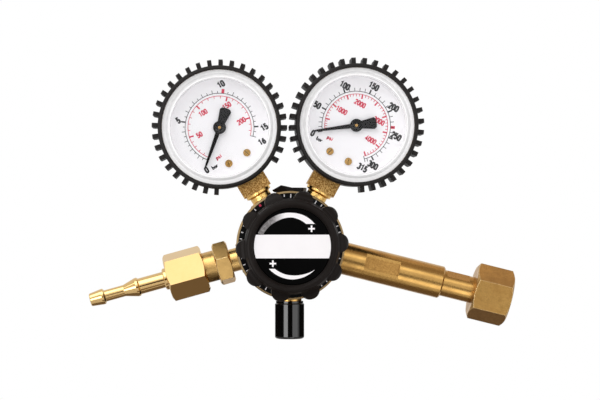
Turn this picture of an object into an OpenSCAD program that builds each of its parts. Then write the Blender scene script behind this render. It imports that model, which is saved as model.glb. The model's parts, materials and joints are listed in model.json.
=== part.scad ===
// Gas cylinder regulator with two gauges. All sizes are in millimetres.
// The pieces are drawn inside front(): x is right, y is up, and z points out of the dials.
// There the origin is the body's centre, where the knob's axis meets the plane of the ports.
// front() then stands the regulator up, with its origin at the inlet's sealing face.

/* [Ports] */
// Direction of the inlet, in degrees from the right
inlet_angle = -14; // [-30:0.5:0]
// Direction of the outlet, in degrees from the right
outlet_angle = 195.5; // [185:0.5:205]
// Direction of the low pressure gauge, in degrees from the right
low_gauge_angle = 121; // [120:0.5:130]
// Direction of the high pressure gauge, in degrees from the right
high_gauge_angle = 61; // [50:0.5:61]
// Height of the port bosses above the round body
boss_stand = 1; // [0.8:0.1:2.4]
// Depth of the threaded ports
port_depth = 11.6; // [9.6:0.1:12]
// Radius of the drilled gas passages
passage_r = 1.5; // [1:0.1:1.6]

/* [Body] */
// Radius of the round body
body_r = 27.6; // [27.5:0.1:28.5]
// Depth of the body behind the plane of the ports
body_back = 17; // [16:0.5:22]
// Chamfer round the back of the body
body_edge = 5; // [2:0.5:7]
// Depth of the step that carries the bonnet's thread
bonnet_step = 0.8; // [0.6:0.1:1.6]
// Wall between the inlet thread and the diaphragm chamber
port_wall = 1.6; // [1.2:0.1:3]
// Depth of the chamber under the diaphragm
chamber_depth = 3.5; // [3:0.1:5]
// Wall round the pocket that holds the diaphragm's edge
pocket_wall = 2.7; // [2.4:0.1:3.8]
// Width of the seat under the diaphragm's edge
diaphragm_seat = 4.1; // [3:0.1:5]
// Radius of the high pressure chamber's thread
plug_thread_r = 9; // [8.5:0.1:10]
// Distance from the plane of the ports back to the high pressure chamber's end
web_back = 3.5; // [3:0.1:4]

/* [Diaphragm and valve] */
// Thickness of the diaphragm
diaphragm_t = 1; // [0.6:0.1:2]
// Thickness of the slip ring
slip_ring_t = 1.2; // [0.8:0.1:2]
// Thickness of the pressure plate on the diaphragm
plate_t = 2; // [1.5:0.1:3]
// Radius of the pressure plate
plate_r = 15; // [13:0.5:17]
// Radius of the valve pin
pin_r = 1; // [0.8:0.1:1.1]
// Radius of the pin's head under the diaphragm
pin_head_r = 6; // [4:0.5:8]
// Lift of the valve
valve_lift = 0.8; // [0.4:0.1:1.2]
// Outer radius of the nozzle
nozzle_r = 4.5; // [4:0.1:5.5]
// Radius of the nozzle's hole
orifice_r = 1.6; // [1.5:0.1:2]
// Radius of the valve poppet
poppet_r = 4; // [3.5:0.1:5]
// Length of the valve poppet
poppet_len = 5; // [4:0.5:6]
// Width of the rear plug's shoulder beyond its thread
plug_shoulder = 2; // [1.5:0.1:3]
// Height of the rear plug's head
plug_head = 6; // [4:0.5:8]
// Thickness of the rear plug's sealing ring
seal_t = 1.2; // [0.8:0.1:2]

/* [Bonnet and knob] */
// Step of the bonnet's flange beyond the body
bonnet_lip = 1.5; // [1.2:0.1:3]
// Thickness of the bonnet's flange in front of the body's rim
flange_t = 4.4; // [3.5:0.1:7]
// Wall of the bonnet's barrel
barrel_wall = 4.5; // [4:0.1:5]
// Radius of the spring space in the bonnet
spring_bore_r = 14; // [13.8:0.1:15.5]
// Thickness of the bonnet's threaded roof
roof_t = 5.5; // [4:0.5:8]
// Thickness of the dark ring round the knob's foot
scale_ring_t = 1.5; // [1:0.1:2.5]
// Inset of that ring from the flange's edge
scale_ring_inset = 1.1; // [0.9:0.1:3]
// Thread radius of the adjusting screw
screw_r = 6; // [5:0.1:7]
// Thread pitch of the adjusting screw
screw_pitch = 1.5; // [1:0.25:2]
// Turns of the knob between its stops
knob_turns = 4; // [3:1:5]
// Clearance between the knob and the barrel
knob_gap = 0.7; // [0.5:0.1:1.2]
// Wall of the knob between the barrel and the lobes' hollows
knob_wall = 2.3; // [2:0.1:3]
// Radius of the hollow behind each lobe
lobe_hollow_r = 3; // [2.5:0.1:3.4]
// Radius of one lobe
lobe_r = 5; // [4.5:0.1:5.5]
// Height of the lobes above the outline between them
lobe_stand = 4.6; // [3.5:0.1:5]
// Thickness of the lobes in front of their hollows
lobe_cap = 12; // [8:0.5:16]
// Step from the outline between the lobes in to the knob's front rim
knob_rim_step = 0.8; // [0.5:0.1:1.5]
// Width of the rim round the knob's front disc
knob_rim_w = 4.1; // [3.3:0.1:5]
// Height of the knob's rounded shoulder
shoulder_h = 9.2; // [7:0.1:11]
// Angle over which that shoulder is rounded, in degrees
shoulder_turn = 80; // [70:1:85]
// Number of lobes
lobes = 10; // [8:1:11]
// Angle of the first lobe, in degrees
lobe_angle = 4; // [0:1:35]
// Thickness of the knob's front disc
insert_t = 1.5; // [1:0.1:2]
// Thickness of the knob's web
knob_web_t = 2; // [1.5:0.1:4]
// Depth of the front disc below the knob's rim
insert_depth = 1.5; // [0.5:0.1:2.5]
// Length of the main spring
main_spring_len = 17; // [16:0.5:22]
// Wire radius of the main spring
main_wire_r = 1.35; // [1:0.05:1.5]
// Thickness of the spring button
button_t = 3; // [2.5:0.1:4]
// Radius of the thrust ball
ball_r = 3; // [2.5:0.1:3.5]

/* [Inlet] */
// Thread radius of the inlet stem in the body
inlet_thread_r = 8.33; // [8:0.01:8.5]
// Step from the inlet thread out to the stem
stem_shoulder = 0.52; // [0.4:0.01:1]
// Length of the stem outside the body
stem_len = 57.4; // [52:0.1:66]
// Depth of the stem's spanner flats
stem_flat_cut = 1.35; // [0.8:0.05:1.8]
// Length of the stem's spanner flats
flats_len = 19; // [14:1:22]
// Distance from the body to the stem's spanner flats
flats_gap = 13.4; // [10:0.1:18]
// Radius of the inlet nipple
nipple_r = 7.2; // [6.8:0.1:8]
// Depth of the nipple's flats
nipple_flat_cut = 0.7; // [0.4:0.1:1]
// Length of the nipple's flats
nipple_flat_len = 12.5; // [8:0.5:13]
// Step from the nipple in to the spigot in the stem
nipple_step = 1.2; // [0.8:0.1:1.6]
// Length of the nipple's spigot in the stem
nipple_spigot = 12; // [8:1:16]
// Distance from the stem's end to the nut
nipple_show = 17.1; // [15.5:0.1:22]
// Length of the inlet's filter
filter_len = 9; // [5:0.5:20]
// Radius of the gas way through the inlet
inlet_bore_r = 3.5; // [3:0.1:4]
// Wall of the inlet nut from its thread to its flats
inlet_nut_wall = 2.6; // [2.2:0.1:4]
// Length of the inlet nut
inlet_nut_len = 20.6; // [18:0.1:24]
// Wall behind the nipple's collar in the inlet nut
inlet_nut_back = 3; // [2.5:0.1:4]
// Wall radius of the inlet nut's thread
inlet_nut_thread_r = 10.9; // [10.5:0.05:11]
// Turn of the inlet nut's front face, in degrees
inlet_nut_roll = 4.8; // [-30:0.2:30]
// Thickness of the nipple's collar
collar_t = 2.8; // [2:0.1:4]
// Thickness of the inlet gasket
gasket_t = 1.6; // [1:0.1:2.5]

/* [Outlet] */
// Thread radius of the outlet adapter in the body
outlet_thread_r = 6.55; // [6:0.05:6.6]
// Step from the outlet thread in to the adapter's neck
neck_relief = 0.25; // [0.1:0.05:0.6]
// Length of the adapter's neck
neck_len = 4.6; // [2.5:0.1:6]
// Width of the adapter's hexagon beyond its outer thread
adapter_shoulder = 2.17; // [1.5:0.01:3]
// Length of the adapter's hexagon
adapter_hex_len = 8.3; // [6:0.1:10]
// Turn of the adapter's front face, in degrees
adapter_roll = -15.8; // [-30:0.2:30]
// Thread radius of the adapter's outer end
union_thread_r = 8.33; // [8:0.01:8.6]
// Length of the adapter's thread left uncovered
union_thread_show = 6.2; // [4:0.1:10]
// Length of the adapter's thread inside the union nut
union_thread_in = 10; // [8:0.1:11]
// Wall of the union nut from its thread to its flats
union_nut_wall = 3.17; // [2.5:0.01:4]
// Length of the union nut
union_len = 21.2; // [19:0.1:25]
// Turn of the union nut's front face, in degrees
union_roll = 14.2; // [-30:0.2:30]
// End wall of the union nut
union_wall = 4.5; // [3:0.1:5]
// Gas way through the outlet
outlet_bore_r = 2.6; // [2:0.1:3]

/* [Hose tail] */
// Radius of the hose tail's collar in the union nut's end
tail_collar_r = 6; // [5.5:0.1:6.5]
// Length of that collar outside the nut
tail_collar_show = 2.1; // [1:0.1:4]
// Wall of the hose tail's shank
tail_shank_wall = 1.8; // [1.4:0.1:2.2]
// Length of the hose tail's shank
tail_shank_len = 14.4; // [8:0.1:20]
// Height of the big barb above the shank
big_barb_h = 0.75; // [0.5:0.05:1.2]
// Length of the big barb
big_barb_len = 8; // [5:0.1:12]
// Wall of the hose tail between the barbs
tail_waist_wall = 0.55; // [0.5:0.05:1]
// Length of the hose tail between the barbs
tail_waist_len = 11.4; // [6:0.1:16]
// Height of the tip's barb above the stretch between the barbs
tip_barb_h = 1.15; // [0.9:0.05:1.5]
// Length of the tip's barb
tip_barb_len = 7.7; // [5:0.1:12]
// Length of the straight land on each barb's crest
barb_land = 1.2; // [0.6:0.1:2]

/* [Relief valve and top plug] */
// Thread radius of the relief valve in the body
relief_thread_r = 4.95; // [4.5:0.05:5.2]
// Outer radius of the relief valve's cap
relief_cap_r = 8; // [7.5:0.05:9]
// Gap between the body's boss and the cap
relief_cap_gap = 2; // [1.5:0.1:3.5]
// Length of the cap
relief_cap_len = 20.6; // [19:0.1:26]
// Wall of the cap
relief_cap_wall = 1.4; // [1:0.1:2]
// Radius of the hole under the relief valve's poppet
relief_hole_r = 2; // [1.5:0.1:2.5]
// Size of the hexagon socket in the relief valve's adjuster
adjuster_af = 3; // [2:0.5:4]
// Lift of the relief valve
relief_lift = 1.5; // [0.5:0.1:2]
// Thread radius of the top plug
top_thread_r = 4; // [3:0.1:4.2]
// Length of the top plug's thread
top_plug_in = 4; // [3:0.5:6]
// Width of the top plug's head beyond its thread
top_plug_shoulder = 4.5; // [3:0.1:5]
// Turn of the top plug's head, in degrees
top_plug_roll = 17; // [0:1:30]
// Height of the ridge on the top plug's head
top_plug_head = 3.8; // [3:0.1:6]
// Height of the head's flat part on the ridge's right
top_plug_flat = 2.5; // [2:0.1:3]
// Height of the head at its low left corner
top_plug_corner = 1.2; // [0.8:0.1:2]
// Distance of the ridge from the top plug's axis
top_plug_ridge = 4.8; // [3:0.1:6]

/* [Gauges] */
// Length of a gauge's socket block that shows between the body and the case
socket_show = 8.6; // [8.2:0.1:14]
// Least gap between the teeth of the two boots
boots_gap = 1; // [0.6:0.1:6]
// Outer radius of a gauge's case
case_r = 31.6; // [31:0.1:31.8]
// Wall of the case
case_wall = 0.8; // [0.6:0.1:1]
// Depth of the dial's face below the case's front edge
dial_depth = 6.9; // [6.6:0.1:9]
// Thickness of the boot round the case
boot_t = 1.5; // [1.3:0.1:2]
// Height of the boot's teeth
tooth_h = 3.3; // [2:0.1:4]
// Width of one tooth
tooth_w = 2.3; // [2:0.1:3]
// Number of teeth
teeth = 31; // [21:2:33]
// Angle between two teeth, in degrees
tooth_step = 9.9; // [9:0.1:10]
// Turn of each boot's teeth away from the other gauge, in degrees
boot_turn = 2.2; // [0:0.1:4]
// Distance from the boot's front down to its teeth
tooth_front_gap = 3; // [2:0.1:5]
// Distance from the boot's back up to its teeth
tooth_back_gap = 6; // [3:0.1:10]
// Width of the boot's lip over the case's edge
window_lip = 0.7; // [0.65:0.05:0.75]
// Thickness of the boot's front and back lips
lip_t = 1.5; // [1:0.1:2]
// Width of the lens's rim round its raised middle
lens_rim_w = 4.45; // [3.6:0.05:4.8]
// Thickness of the lens
lens_t = 1.6; // [1.2:0.1:2]
// Width of the square socket block
socket_w = 16.4; // [15:0.1:17]
// Gap between the body's bosses and the square socket block
socket_gap = 5.2; // [3.4:0.1:7]
// Thread radius of the gauge's neck
gauge_thread_r = 6.55; // [6:0.05:6.6]
// Step from the gauge's thread in to its neck
gauge_neck_relief = 0.8; // [0.4:0.1:1.4]
// Thickness of the collar between the neck and the square socket block
neck_collar_t = 1.6; // [1:0.1:2]
// Height of the dial above the socket block
dial_stand = 0.9; // [0.7:0.1:1.7]
// Thickness of the dial
dial_t = 0.6; // [0.4:0.1:1]
// Distance of the dial screws in from the dial's edge
dial_screw_inset = 10.7; // [9.7:0.1:11.2]
// Angle of each dial screw from the stem, in degrees
dial_screw_angle = 16.5; // [12:0.5:17]
// Gap between the needle's tip and the lens's step
needle_gap = 2.4; // [1.3:0.1:5]
// Radius of the pointer's hub
hub_r = 3.5; // [2.5:0.1:4]
// Half the needle's width at the hub
needle_half = 1.3; // [0.8:0.05:1.5]
// Half the width of the pointer's tail at the hub
tail_half = 1.6; // [1.2:0.1:2]
// Length of the pointer's tail
tail_len = 11; // [7:0.5:12]
// Half the width of the pointer's tail at its end
tail_end_half = 3.2; // [2.4:0.1:4]
// Direction of the low pressure gauge's zero mark, in degrees from the gauge's right
low_zero = 219.5; // [215:0.5:226]
// Direction of the high pressure gauge's zero mark
high_zero = 216.5; // [213:0.5:226]

/* [Gauge movement] */
// Distance of the pressure tube's centre line in from the case's outside
tube_inset = 9.6; // [8.6:0.1:9.8]
// Thickness of the flattened pressure tube
tube_thick = 2.4; // [1.8:0.1:2.6]
// Height of the flattened pressure tube
tube_high = 6.6; // [5:0.1:7]
// Gear module of the movement
gear_module = 0.22; // [0.2:0.01:0.23]
// Teeth on the pointer's pinion
pinion_teeth = 10; // [10:1:12]
// Teeth that a full wheel of the sector's size would have
wheel_teeth = 120; // [110:1:120]
// Direction of the sector's pivot, in degrees from the gauge's right
pivot_angle = 340; // [336:1:344]
// Length of the sector's tail
sector_tail = 5; // [4:0.1:5]

/* [Hidden] */
$fn = 72;

// Clearance on the radius between pieces that are screwed or slid together
fit = 0.05;
// Gap left at the end of a travel
stop_gap = 0.5;
// Overlap that makes cuts break cleanly through a face
cut = 0.1;

brass = "#c79a4b";
bright_brass = "#d9b15f";
dull_brass = "#b98a45";
black = "#1c1c1e";
steel = "#b9bcc0";
white = "#f4f3f1";
rubber = "#2b2a2a";

// Height of the spigots that centre the main spring
spring_spigot = 1.6;
// Depth of a blind thread beyond the end of its screw
blind_end = 0.6;

// Radii of the body, and distances along a port from the body's centre
boss_reach = body_r + boss_stand;
port_floor = boss_reach - port_depth;
boss_root = plug_thread_r + 3;
boss_edge = 0.8;
thread_start = port_floor + 1;
bonnet_thread_r = body_r - bonnet_step;
pocket_r = bonnet_thread_r - pocket_wall;
chamber_r = pocket_r - diaphragm_seat;
plug_af = 2 * (plug_thread_r + plug_shoulder);

// Radii of the bonnet and the knob
bonnet_r = body_r + bonnet_lip;
barrel_r = spring_bore_r + barrel_wall;
scale_ring_r = bonnet_r - scale_ring_inset;
knob_bore_r = barrel_r + knob_gap;
lobe_reach = knob_bore_r + knob_wall + lobe_hollow_r;
knob_r = lobe_reach + lobe_r;
knob_valley_r = knob_r - lobe_stand;
knob_rim_r = knob_valley_r - knob_rim_step;
insert_r = knob_rim_r - knob_rim_w;

// Heights along the knob's axis, from the plane of the ports towards the front
inlet_boss_r = inlet_thread_r + 2.1;
skirt_z = inlet_boss_r + 0.4;
chamber_floor = inlet_thread_r + fit + port_wall;
diaphragm_z = chamber_floor + chamber_depth;
slip_z = diaphragm_z + diaphragm_t;
slip_top = slip_z + slip_ring_t;
rim_z = slip_top + 1.3;
flange_z = rim_z + cut + flange_t;
scale_ring_z = flange_z + scale_ring_t;
plate_top = slip_z + plate_t;
main_spring_top = plate_top + main_spring_len;
button_top = main_spring_top + button_t;
ball_z = button_top + 0.6 * ball_r;
roof_z = button_top + 0.9 * ball_r;
bonnet_top = roof_z + roof_t;
knob_travel = knob_turns * screw_pitch;
knob_foot = scale_ring_z + knob_travel + stop_gap;
web_z = bonnet_top + knob_travel + stop_gap;
disc_z = web_z + knob_web_t;
knob_top = disc_z + insert_t + insert_depth;
screw_drive_af = 2 * screw_r - 3;
chamber_roof = plate_top + spring_spigot;
nose_in_r = chamber_r - 0.5;
spigot_r = spring_bore_r - 2 * main_wire_r - 3;
pin_head_t = chamber_depth - valve_lift - 2 * stop_gap;

// Distances along the inlet, from the body's centre
stem_r = inlet_thread_r + stem_shoulder;
stem_end = boss_reach + stem_len;
flats_start = boss_reach + flats_gap;
nut_start = stem_end + nipple_show;
nut_end = nut_start + inlet_nut_len;
collar_start = nut_start + inlet_nut_back + 0.2;
collar_end = collar_start + collar_t;
gasket_end = collar_end + gasket_t;
nut_thread_start = gasket_end + 0.4;
collar_r = inlet_nut_thread_r - 0.6;
seat_x = nut_thread_start * cos(inlet_angle);
seat_y = nut_thread_start * sin(inlet_angle);
stem_socket_r = nipple_r - nipple_step;
spigot_start = stem_end - nipple_spigot;
inlet_nut_af = 2 * (inlet_nut_thread_r + inlet_nut_wall);

// Distances along the outlet, from the body's centre
neck_r = outlet_thread_r - neck_relief;
adapter_hex_start = boss_reach + neck_len;
adapter_af = 2 * (union_thread_r + adapter_shoulder);
union_af = 2 * (union_thread_r + union_nut_wall);
tail_shank_r = outlet_bore_r + tail_shank_wall;
big_barb_r = tail_shank_r + big_barb_h;
tail_waist_r = outlet_bore_r + tail_waist_wall;
tip_barb_r = tail_waist_r + tip_barb_h;
adapter_hex_end = adapter_hex_start + adapter_hex_len;
union_start = adapter_hex_end + union_thread_show;
adapter_end = union_start + union_thread_in;
union_end = union_start + union_len;
tail_head_start = adapter_end + fit;
tail_head_end = union_end - union_wall - 0.2;
seat_cone = 3;
tail_nose = 2.4;
tail_nose_r = outlet_bore_r + seat_cone - 2 * fit;
shank_start = union_end + tail_collar_show;
big_crest = shank_start + tail_shank_len;
waist_start = big_crest + big_barb_len;
tip_crest = waist_start + tail_waist_len;
tail_end = tip_crest + tip_barb_len;

// Depths of the valve train, behind the plane of the ports
poppet_z = -web_back - 0.1;
poppet_foot = poppet_z - poppet_len;
plug_thread_end = poppet_z - 0.6 * poppet_len;
plug_bore_r = poppet_r + fit;
plug_bore_floor = -body_back + 1;

// Distances along the relief valve and the top plug, from the body's centre
relief_cap_start = boss_reach + relief_cap_gap;
relief_cap_end = relief_cap_start + relief_cap_len;
top_plug_af = 2 * (top_thread_r + top_plug_shoulder);
relief_bore_r = relief_thread_r - 1.1;
relief_shell_r = relief_cap_r - relief_cap_wall - fit;
relief_shell_end = relief_cap_end - relief_cap_wall - 2.5;
relief_seat_z = boss_reach + 1.4;
relief_poppet_len = 3;
relief_spring_start = relief_seat_z + relief_poppet_len;
relief_spring_len = 9;
relief_spring_end = relief_spring_start + relief_spring_len;

// Distance from the body's centre to a gauge's centre: clear of the body and of the other gauge
boot_r = case_r + boot_t;
tooth_tip_r = boot_r + tooth_h;
socket_start = boss_reach + socket_gap;
gauge_reach = max(
    socket_start + socket_show + case_r,
    (tooth_tip_r + boots_gap / 2) / sin((low_gauge_angle - high_gauge_angle) / 2)
);

// Sizes of a gauge, from its own centre
socket_half = socket_w / 2;
dial_back = socket_half + dial_stand;
dial_face = dial_back + dial_t;
dial_r = case_r - case_wall - 2 * fit;
dial_screw_reach = dial_r - dial_screw_inset;
case_front = dial_face + dial_depth;
window_r = case_r - window_lip;
lens_step_r = window_r - lens_rim_w;
needle_len = lens_step_r - needle_gap;
tube_r = case_r - tube_inset;
case_back = -socket_half - case_wall;
gauge_neck_r = gauge_thread_r - gauge_neck_relief;
gauge_collar_r = socket_half - 0.9;
neck_collar_start = socket_start - neck_collar_t;
boot_bore_r = case_r + fit;
boot_front = case_front + lens_t + lip_t;
boot_back = case_back - fit - lip_t;
tooth_front = boot_front - tooth_front_gap;
tooth_back = boot_back + tooth_back_gap;
back_lip_w = 8;
boot_round = 1.3;
window_round = 0.6;
notch_gap = 0.3;
socket_y = socket_start - gauge_reach;
socket_top_y = -dial_screw_reach + 5.5;
ledge_top_y = socket_top_y + 3.5;
pointer_z = dial_face + 1.4;
pointer_t = 0.8;
tail_corner = 1.3;
tail_end_turn = 12;
arbor_r = 0.8;
tube_tip = 15;
tube_foot = 258;
pillar_strap = 4;

// Gauge movement
pinion_r = gear_module * pinion_teeth / 2;
wheel_r = gear_module * wheel_teeth / 2;
gear_gap = pinion_r + wheel_r;
gear_ratio = pinion_teeth / wheel_teeth;
sector_turn = 266 * gear_ratio;
pivot = gear_gap * [cos(pivot_angle), sin(pivot_angle)];
tail_pin = pivot + sector_tail * [cos(pivot_angle), sin(pivot_angle)];
tip_pin = (tube_r - 0.6) * [cos(tube_tip), sin(tube_tip)];
pillar_y = socket_top_y + 0.5 * pillar_strap + 2 * fit;
pillar = [5, pillar_y];
pillar_left = [-5, pillar_y];
lower_plate_z = 0.6;
plate_thin = 0.8;
sector_z = 4;
sector_t = 1;
link_z = sector_z + sector_t + 0.1;
link_t = 0.6;
link_pin_r = 0.5;
upper_plate_z = 7;

module front() rotate([90, 0, 0]) translate([-seat_x, -seat_y, 0]) children();

// z runs out along a port from the body's centre
module port(angle) rotate([0, 0, angle]) rotate([0, 90, 0]) children();

// A gauge's own frame: the stem points down, y away from the body
module gauge(angle) rotate([0, 0, angle - 90]) translate([0, gauge_reach, 0]) children();

module rod(r, z0, z1) translate([0, 0, z0]) cylinder(r = r, h = z1 - z0);

module tube(r_out, r_in, z0, z1) difference() {
    rod(r_out, z0, z1);
    rod(r_in, z0 - cut, z1 + cut);
}

module turned(points) rotate_extrude() polygon(points);

// Hexagon with chamfered corners at its two ends
module hex_nut(af, z0, z1, roll, bevel = 1.2) intersection() {
    translate([0, 0, z0]) rotate([0, 0, 30 + roll]) cylinder(d = af / cos(30), h = z1 - z0, $fn = 6);
    turned([
        [0, z0], [af / 2 - 0.3, z0], [af / 2 + bevel * 1.6, z0 + bevel],
        [af / 2 + bevel * 1.6, z1 - bevel], [af / 2 - 0.3, z1], [0, z1]
    ]);
}

// Points of an arc, in degrees
function arc(x, y, r, a0, a1, n = 5) =
    [for (i = [0:n]) let (a = a0 + (a1 - a0) * i / n) [x + r * cos(a), y + r * sin(a)]];

// Coil spring from z0 to z1, with closed ends
module spring(coil_r, wire_r, turns, z0, z1, sides = 8, steps = 24) {
    rings = floor(turns * steps);
    run = z1 - z0 - 2 * wire_r;
    flat = 0.75 / turns;
    function rise(t) = t < flat ? 0.25 * t * t / flat
        : t > 1 - flat ? 1 - 0.25 * (1 - t) * (1 - t) / flat
        : 0.25 * flat + (1 - 0.5 * flat) * (t - flat) / (1 - 2 * flat);
    function ring_point(i, k) =
        let (a = 360 * turns * i / rings, b = 360 * k / sides, r = coil_r + wire_r * cos(b))
        [r * cos(a), r * sin(a), z0 + wire_r + run * rise(i / rings) + wire_r * sin(b)];
    polyhedron(
        points = [for (i = [0:rings]) for (k = [0:sides - 1]) ring_point(i, k)],
        faces = concat(
            [[for (k = [0:sides - 1]) k]],
            [for (i = [0:rings - 1]) for (k = [0:sides - 1])
                let (n = (k + 1) % sides)
                [i * sides + k, (i + 1) * sides + k, (i + 1) * sides + n, i * sides + n]],
            [[for (k = [0:sides - 1]) rings * sides + sides - 1 - k]]
        )
    );
}

module boss(angle, r) port(angle) turned([
    [0, boss_root], [r, boss_root], [r, boss_reach - boss_edge], [r - boss_edge, boss_reach], [0, boss_reach]
]);

// Threaded port, with a drilled way into the high or the low pressure chamber
module port_cut(angle, r, floor_at = port_floor) port(angle) rod(r + fit, floor_at, boss_reach + cut);

module high_way(angle) port(angle) translate([web_back + passage_r - 0.2, 0, 0])
    rod(passage_r, plug_thread_r - 1, thread_start);

module low_way(angle, floor_at = port_floor) {
    port(angle) rod(passage_r, port_floor - 3.5, floor_at + cut);
    rotate([0, 0, angle]) translate([port_floor - 2, 0, 0]) rod(passage_r, 0, chamber_floor + cut);
}

module body() color(dull_brass) front() difference() {
    union() {
        turned([
            [0, -body_back], [body_r - body_edge, -body_back], [body_r, body_edge - body_back],
            [body_r, skirt_z - 0.2], [bonnet_thread_r, skirt_z - 0.2], [bonnet_thread_r, rim_z], [0, rim_z]
        ]);
        boss(inlet_angle, inlet_boss_r);
        boss(outlet_angle, outlet_thread_r + 2);
        boss(low_gauge_angle, gauge_thread_r + 1.6);
        boss(high_gauge_angle, gauge_thread_r + 1.6);
        boss(-90, relief_thread_r + 2.6);
        boss(90, top_thread_r + 4);
    }
    rod(chamber_r, chamber_floor, rim_z);
    rod(pocket_r, diaphragm_z, rim_z + cut);
    rod(plug_thread_r + fit, -body_back - cut, -web_back);
    rod(nozzle_r + fit, -web_back - cut, 0);
    rod(orifice_r + 0.9, -cut, chamber_floor + cut);
    port_cut(inlet_angle, inlet_thread_r);
    port_cut(outlet_angle, outlet_thread_r);
    port_cut(low_gauge_angle, gauge_thread_r);
    port_cut(high_gauge_angle, gauge_thread_r);
    port_cut(-90, relief_thread_r);
    port_cut(90, top_thread_r, boss_reach - top_plug_in - blind_end);
    high_way(inlet_angle);
    high_way(high_gauge_angle);
    low_way(outlet_angle);
    low_way(low_gauge_angle);
    low_way(-90);
}

module bonnet() color(bright_brass) front() difference() {
    turned([
        [bonnet_thread_r + fit, skirt_z], [bonnet_r, skirt_z], [bonnet_r, flange_z - 0.6],
        [bonnet_r - 0.6, flange_z], [barrel_r, flange_z], [barrel_r, bonnet_top - 1],
        [barrel_r - 1, bonnet_top], [screw_r + fit, bonnet_top], [screw_r + fit, roof_z],
        [spring_bore_r, roof_z], [spring_bore_r, chamber_roof], [nose_in_r, chamber_roof],
        [nose_in_r, slip_top], [pocket_r - 2 * fit, slip_top], [pocket_r - 2 * fit, rim_z + cut],
        [bonnet_thread_r + fit, rim_z + cut]
    ]);
    rotate([90, 0, 0]) translate([0, scale_ring_z + 3, 0]) cylinder(r = 1.2, h = barrel_r + 1);
}

module scale_ring() color(black) front() tube(scale_ring_r, barrel_r + fit, flange_z, scale_ring_z);

module diaphragm() color("#3a3632") front() rod(pocket_r - 2 * fit, diaphragm_z, slip_z);

module slip_ring() color(steel) front() tube(pocket_r - 2 * fit, nose_in_r, slip_z, slip_top);

module nozzle() color(bright_brass) front() turned([
    [orifice_r, 0], [orifice_r, -web_back + 0.2], [orifice_r + 0.5, -web_back], [orifice_r + 1.2, -web_back],
    [orifice_r + 2, -web_back + 0.8], [nozzle_r, -web_back + 0.8], [nozzle_r, 0]
]);

module rear_plug() color(brass) front() difference() {
    union() {
        hex_nut(plug_af, -body_back - seal_t - plug_head, -body_back - seal_t, 0);
        rod(plug_thread_r, -body_back - seal_t - cut, plug_thread_end);
    }
    rod(plug_bore_r, plug_bore_floor, plug_thread_end + cut);
}

module rear_plug_seal() color("#a8683a") front()
    tube(plug_af / 2 - 0.4, plug_thread_r + fit, -body_back - seal_t, -body_back);

module valve_poppet() color(steel) front() turned([
    [0, poppet_z], [orifice_r + 1.6, poppet_z], [poppet_r, poppet_z - 1], [poppet_r, poppet_foot],
    [1.6, poppet_foot], [1.6, poppet_foot - 1.5], [0, poppet_foot - 1.5]
]);

module poppet_spring() color(steel) front()
    spring(poppet_r - 1.3, 0.4, 5, plug_bore_floor, poppet_foot, sides = 6, steps = 16);

module valve_pin() color(steel) front() turned([
    [0, poppet_z], [pin_r, poppet_z], [pin_r, diaphragm_z - pin_head_t],
    [pin_head_r, diaphragm_z - 0.8 * pin_head_t], [pin_head_r, diaphragm_z], [0, diaphragm_z]
]);

module pressure_plate() color(steel) front() turned([
    [0, slip_z], [plate_r, slip_z], [plate_r, plate_top - 0.5], [plate_r - 0.5, plate_top],
    [spigot_r, plate_top], [spigot_r - 0.4, plate_top + spring_spigot], [0, plate_top + spring_spigot]
]);

module main_spring() color("#7d8288") front()
    spring(spring_bore_r - main_wire_r - 2, main_wire_r, 4.4, plate_top, main_spring_top);

module spring_button() color(steel) front() difference() {
    turned([
        [0, main_spring_top - spring_spigot], [spigot_r - 0.4, main_spring_top - spring_spigot],
        [spigot_r, main_spring_top],
        [spring_bore_r - 0.6, main_spring_top], [spring_bore_r - 0.6, button_top - 1],
        [spring_bore_r - 1.6, button_top], [0, button_top]
    ]);
    translate([0, 0, ball_z]) sphere(r = ball_r + fit);
}

module thrust_ball() color("#d5d8dc") front() translate([0, 0, ball_z]) sphere(r = ball_r);

module adjusting_screw() color(bright_brass) front() difference() {
    union() {
        rod(screw_r, ball_z + 0.4, web_z);
        translate([0, 0, web_z - cut]) cylinder(d = screw_drive_af / cos(30), h = knob_web_t + cut, $fn = 6);
    }
    translate([0, 0, ball_z]) sphere(r = ball_r + fit);
}

module knob() color(black) front() difference() {
    intersection() {
        translate([0, 0, knob_foot]) linear_extrude(knob_top - knob_foot) union() {
            circle(r = knob_valley_r);
            for (i = [0:lobes - 1]) rotate(lobe_angle + i * 360 / lobes)
                translate([lobe_reach, 0]) circle(r = lobe_r);
        }
        turned(concat(
            [[0, knob_foot], [knob_r - 0.8, knob_foot], [knob_r + 0.2, knob_foot + 1.4]],
            arc(knob_rim_r, knob_top - shoulder_h, knob_r - knob_rim_r + 0.2, 0, shoulder_turn, 5),
            arc(knob_rim_r - 1.6, knob_top - 1.6, 1.6, 0, 90, 3),
            [[0, knob_top]]
        ));
    }
    rod(knob_bore_r, knob_foot - cut, web_z);
    translate([0, 0, web_z - cut])
        cylinder(d = (screw_drive_af + 2 * fit) / cos(30), h = knob_web_t + 2 * cut, $fn = 6);
    turned([
        [0, disc_z], [insert_r + fit, disc_z], [insert_r + fit, disc_z + insert_t],
        [insert_r + fit + insert_depth, knob_top + cut], [0, knob_top + cut]
    ]);
    for (i = [0:lobes - 1]) rotate(lobe_angle + i * 360 / lobes) translate([lobe_reach, 0, 0])
        rod(lobe_hollow_r, knob_foot - cut, knob_top - lobe_cap);
}

module knob_disc() color("#0d0d0f") front() turned([
    [0, disc_z], [insert_r, disc_z], [insert_r, disc_z + insert_t - 0.4],
    [insert_r - 0.4, disc_z + insert_t], [0, disc_z + insert_t]
]);

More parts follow.
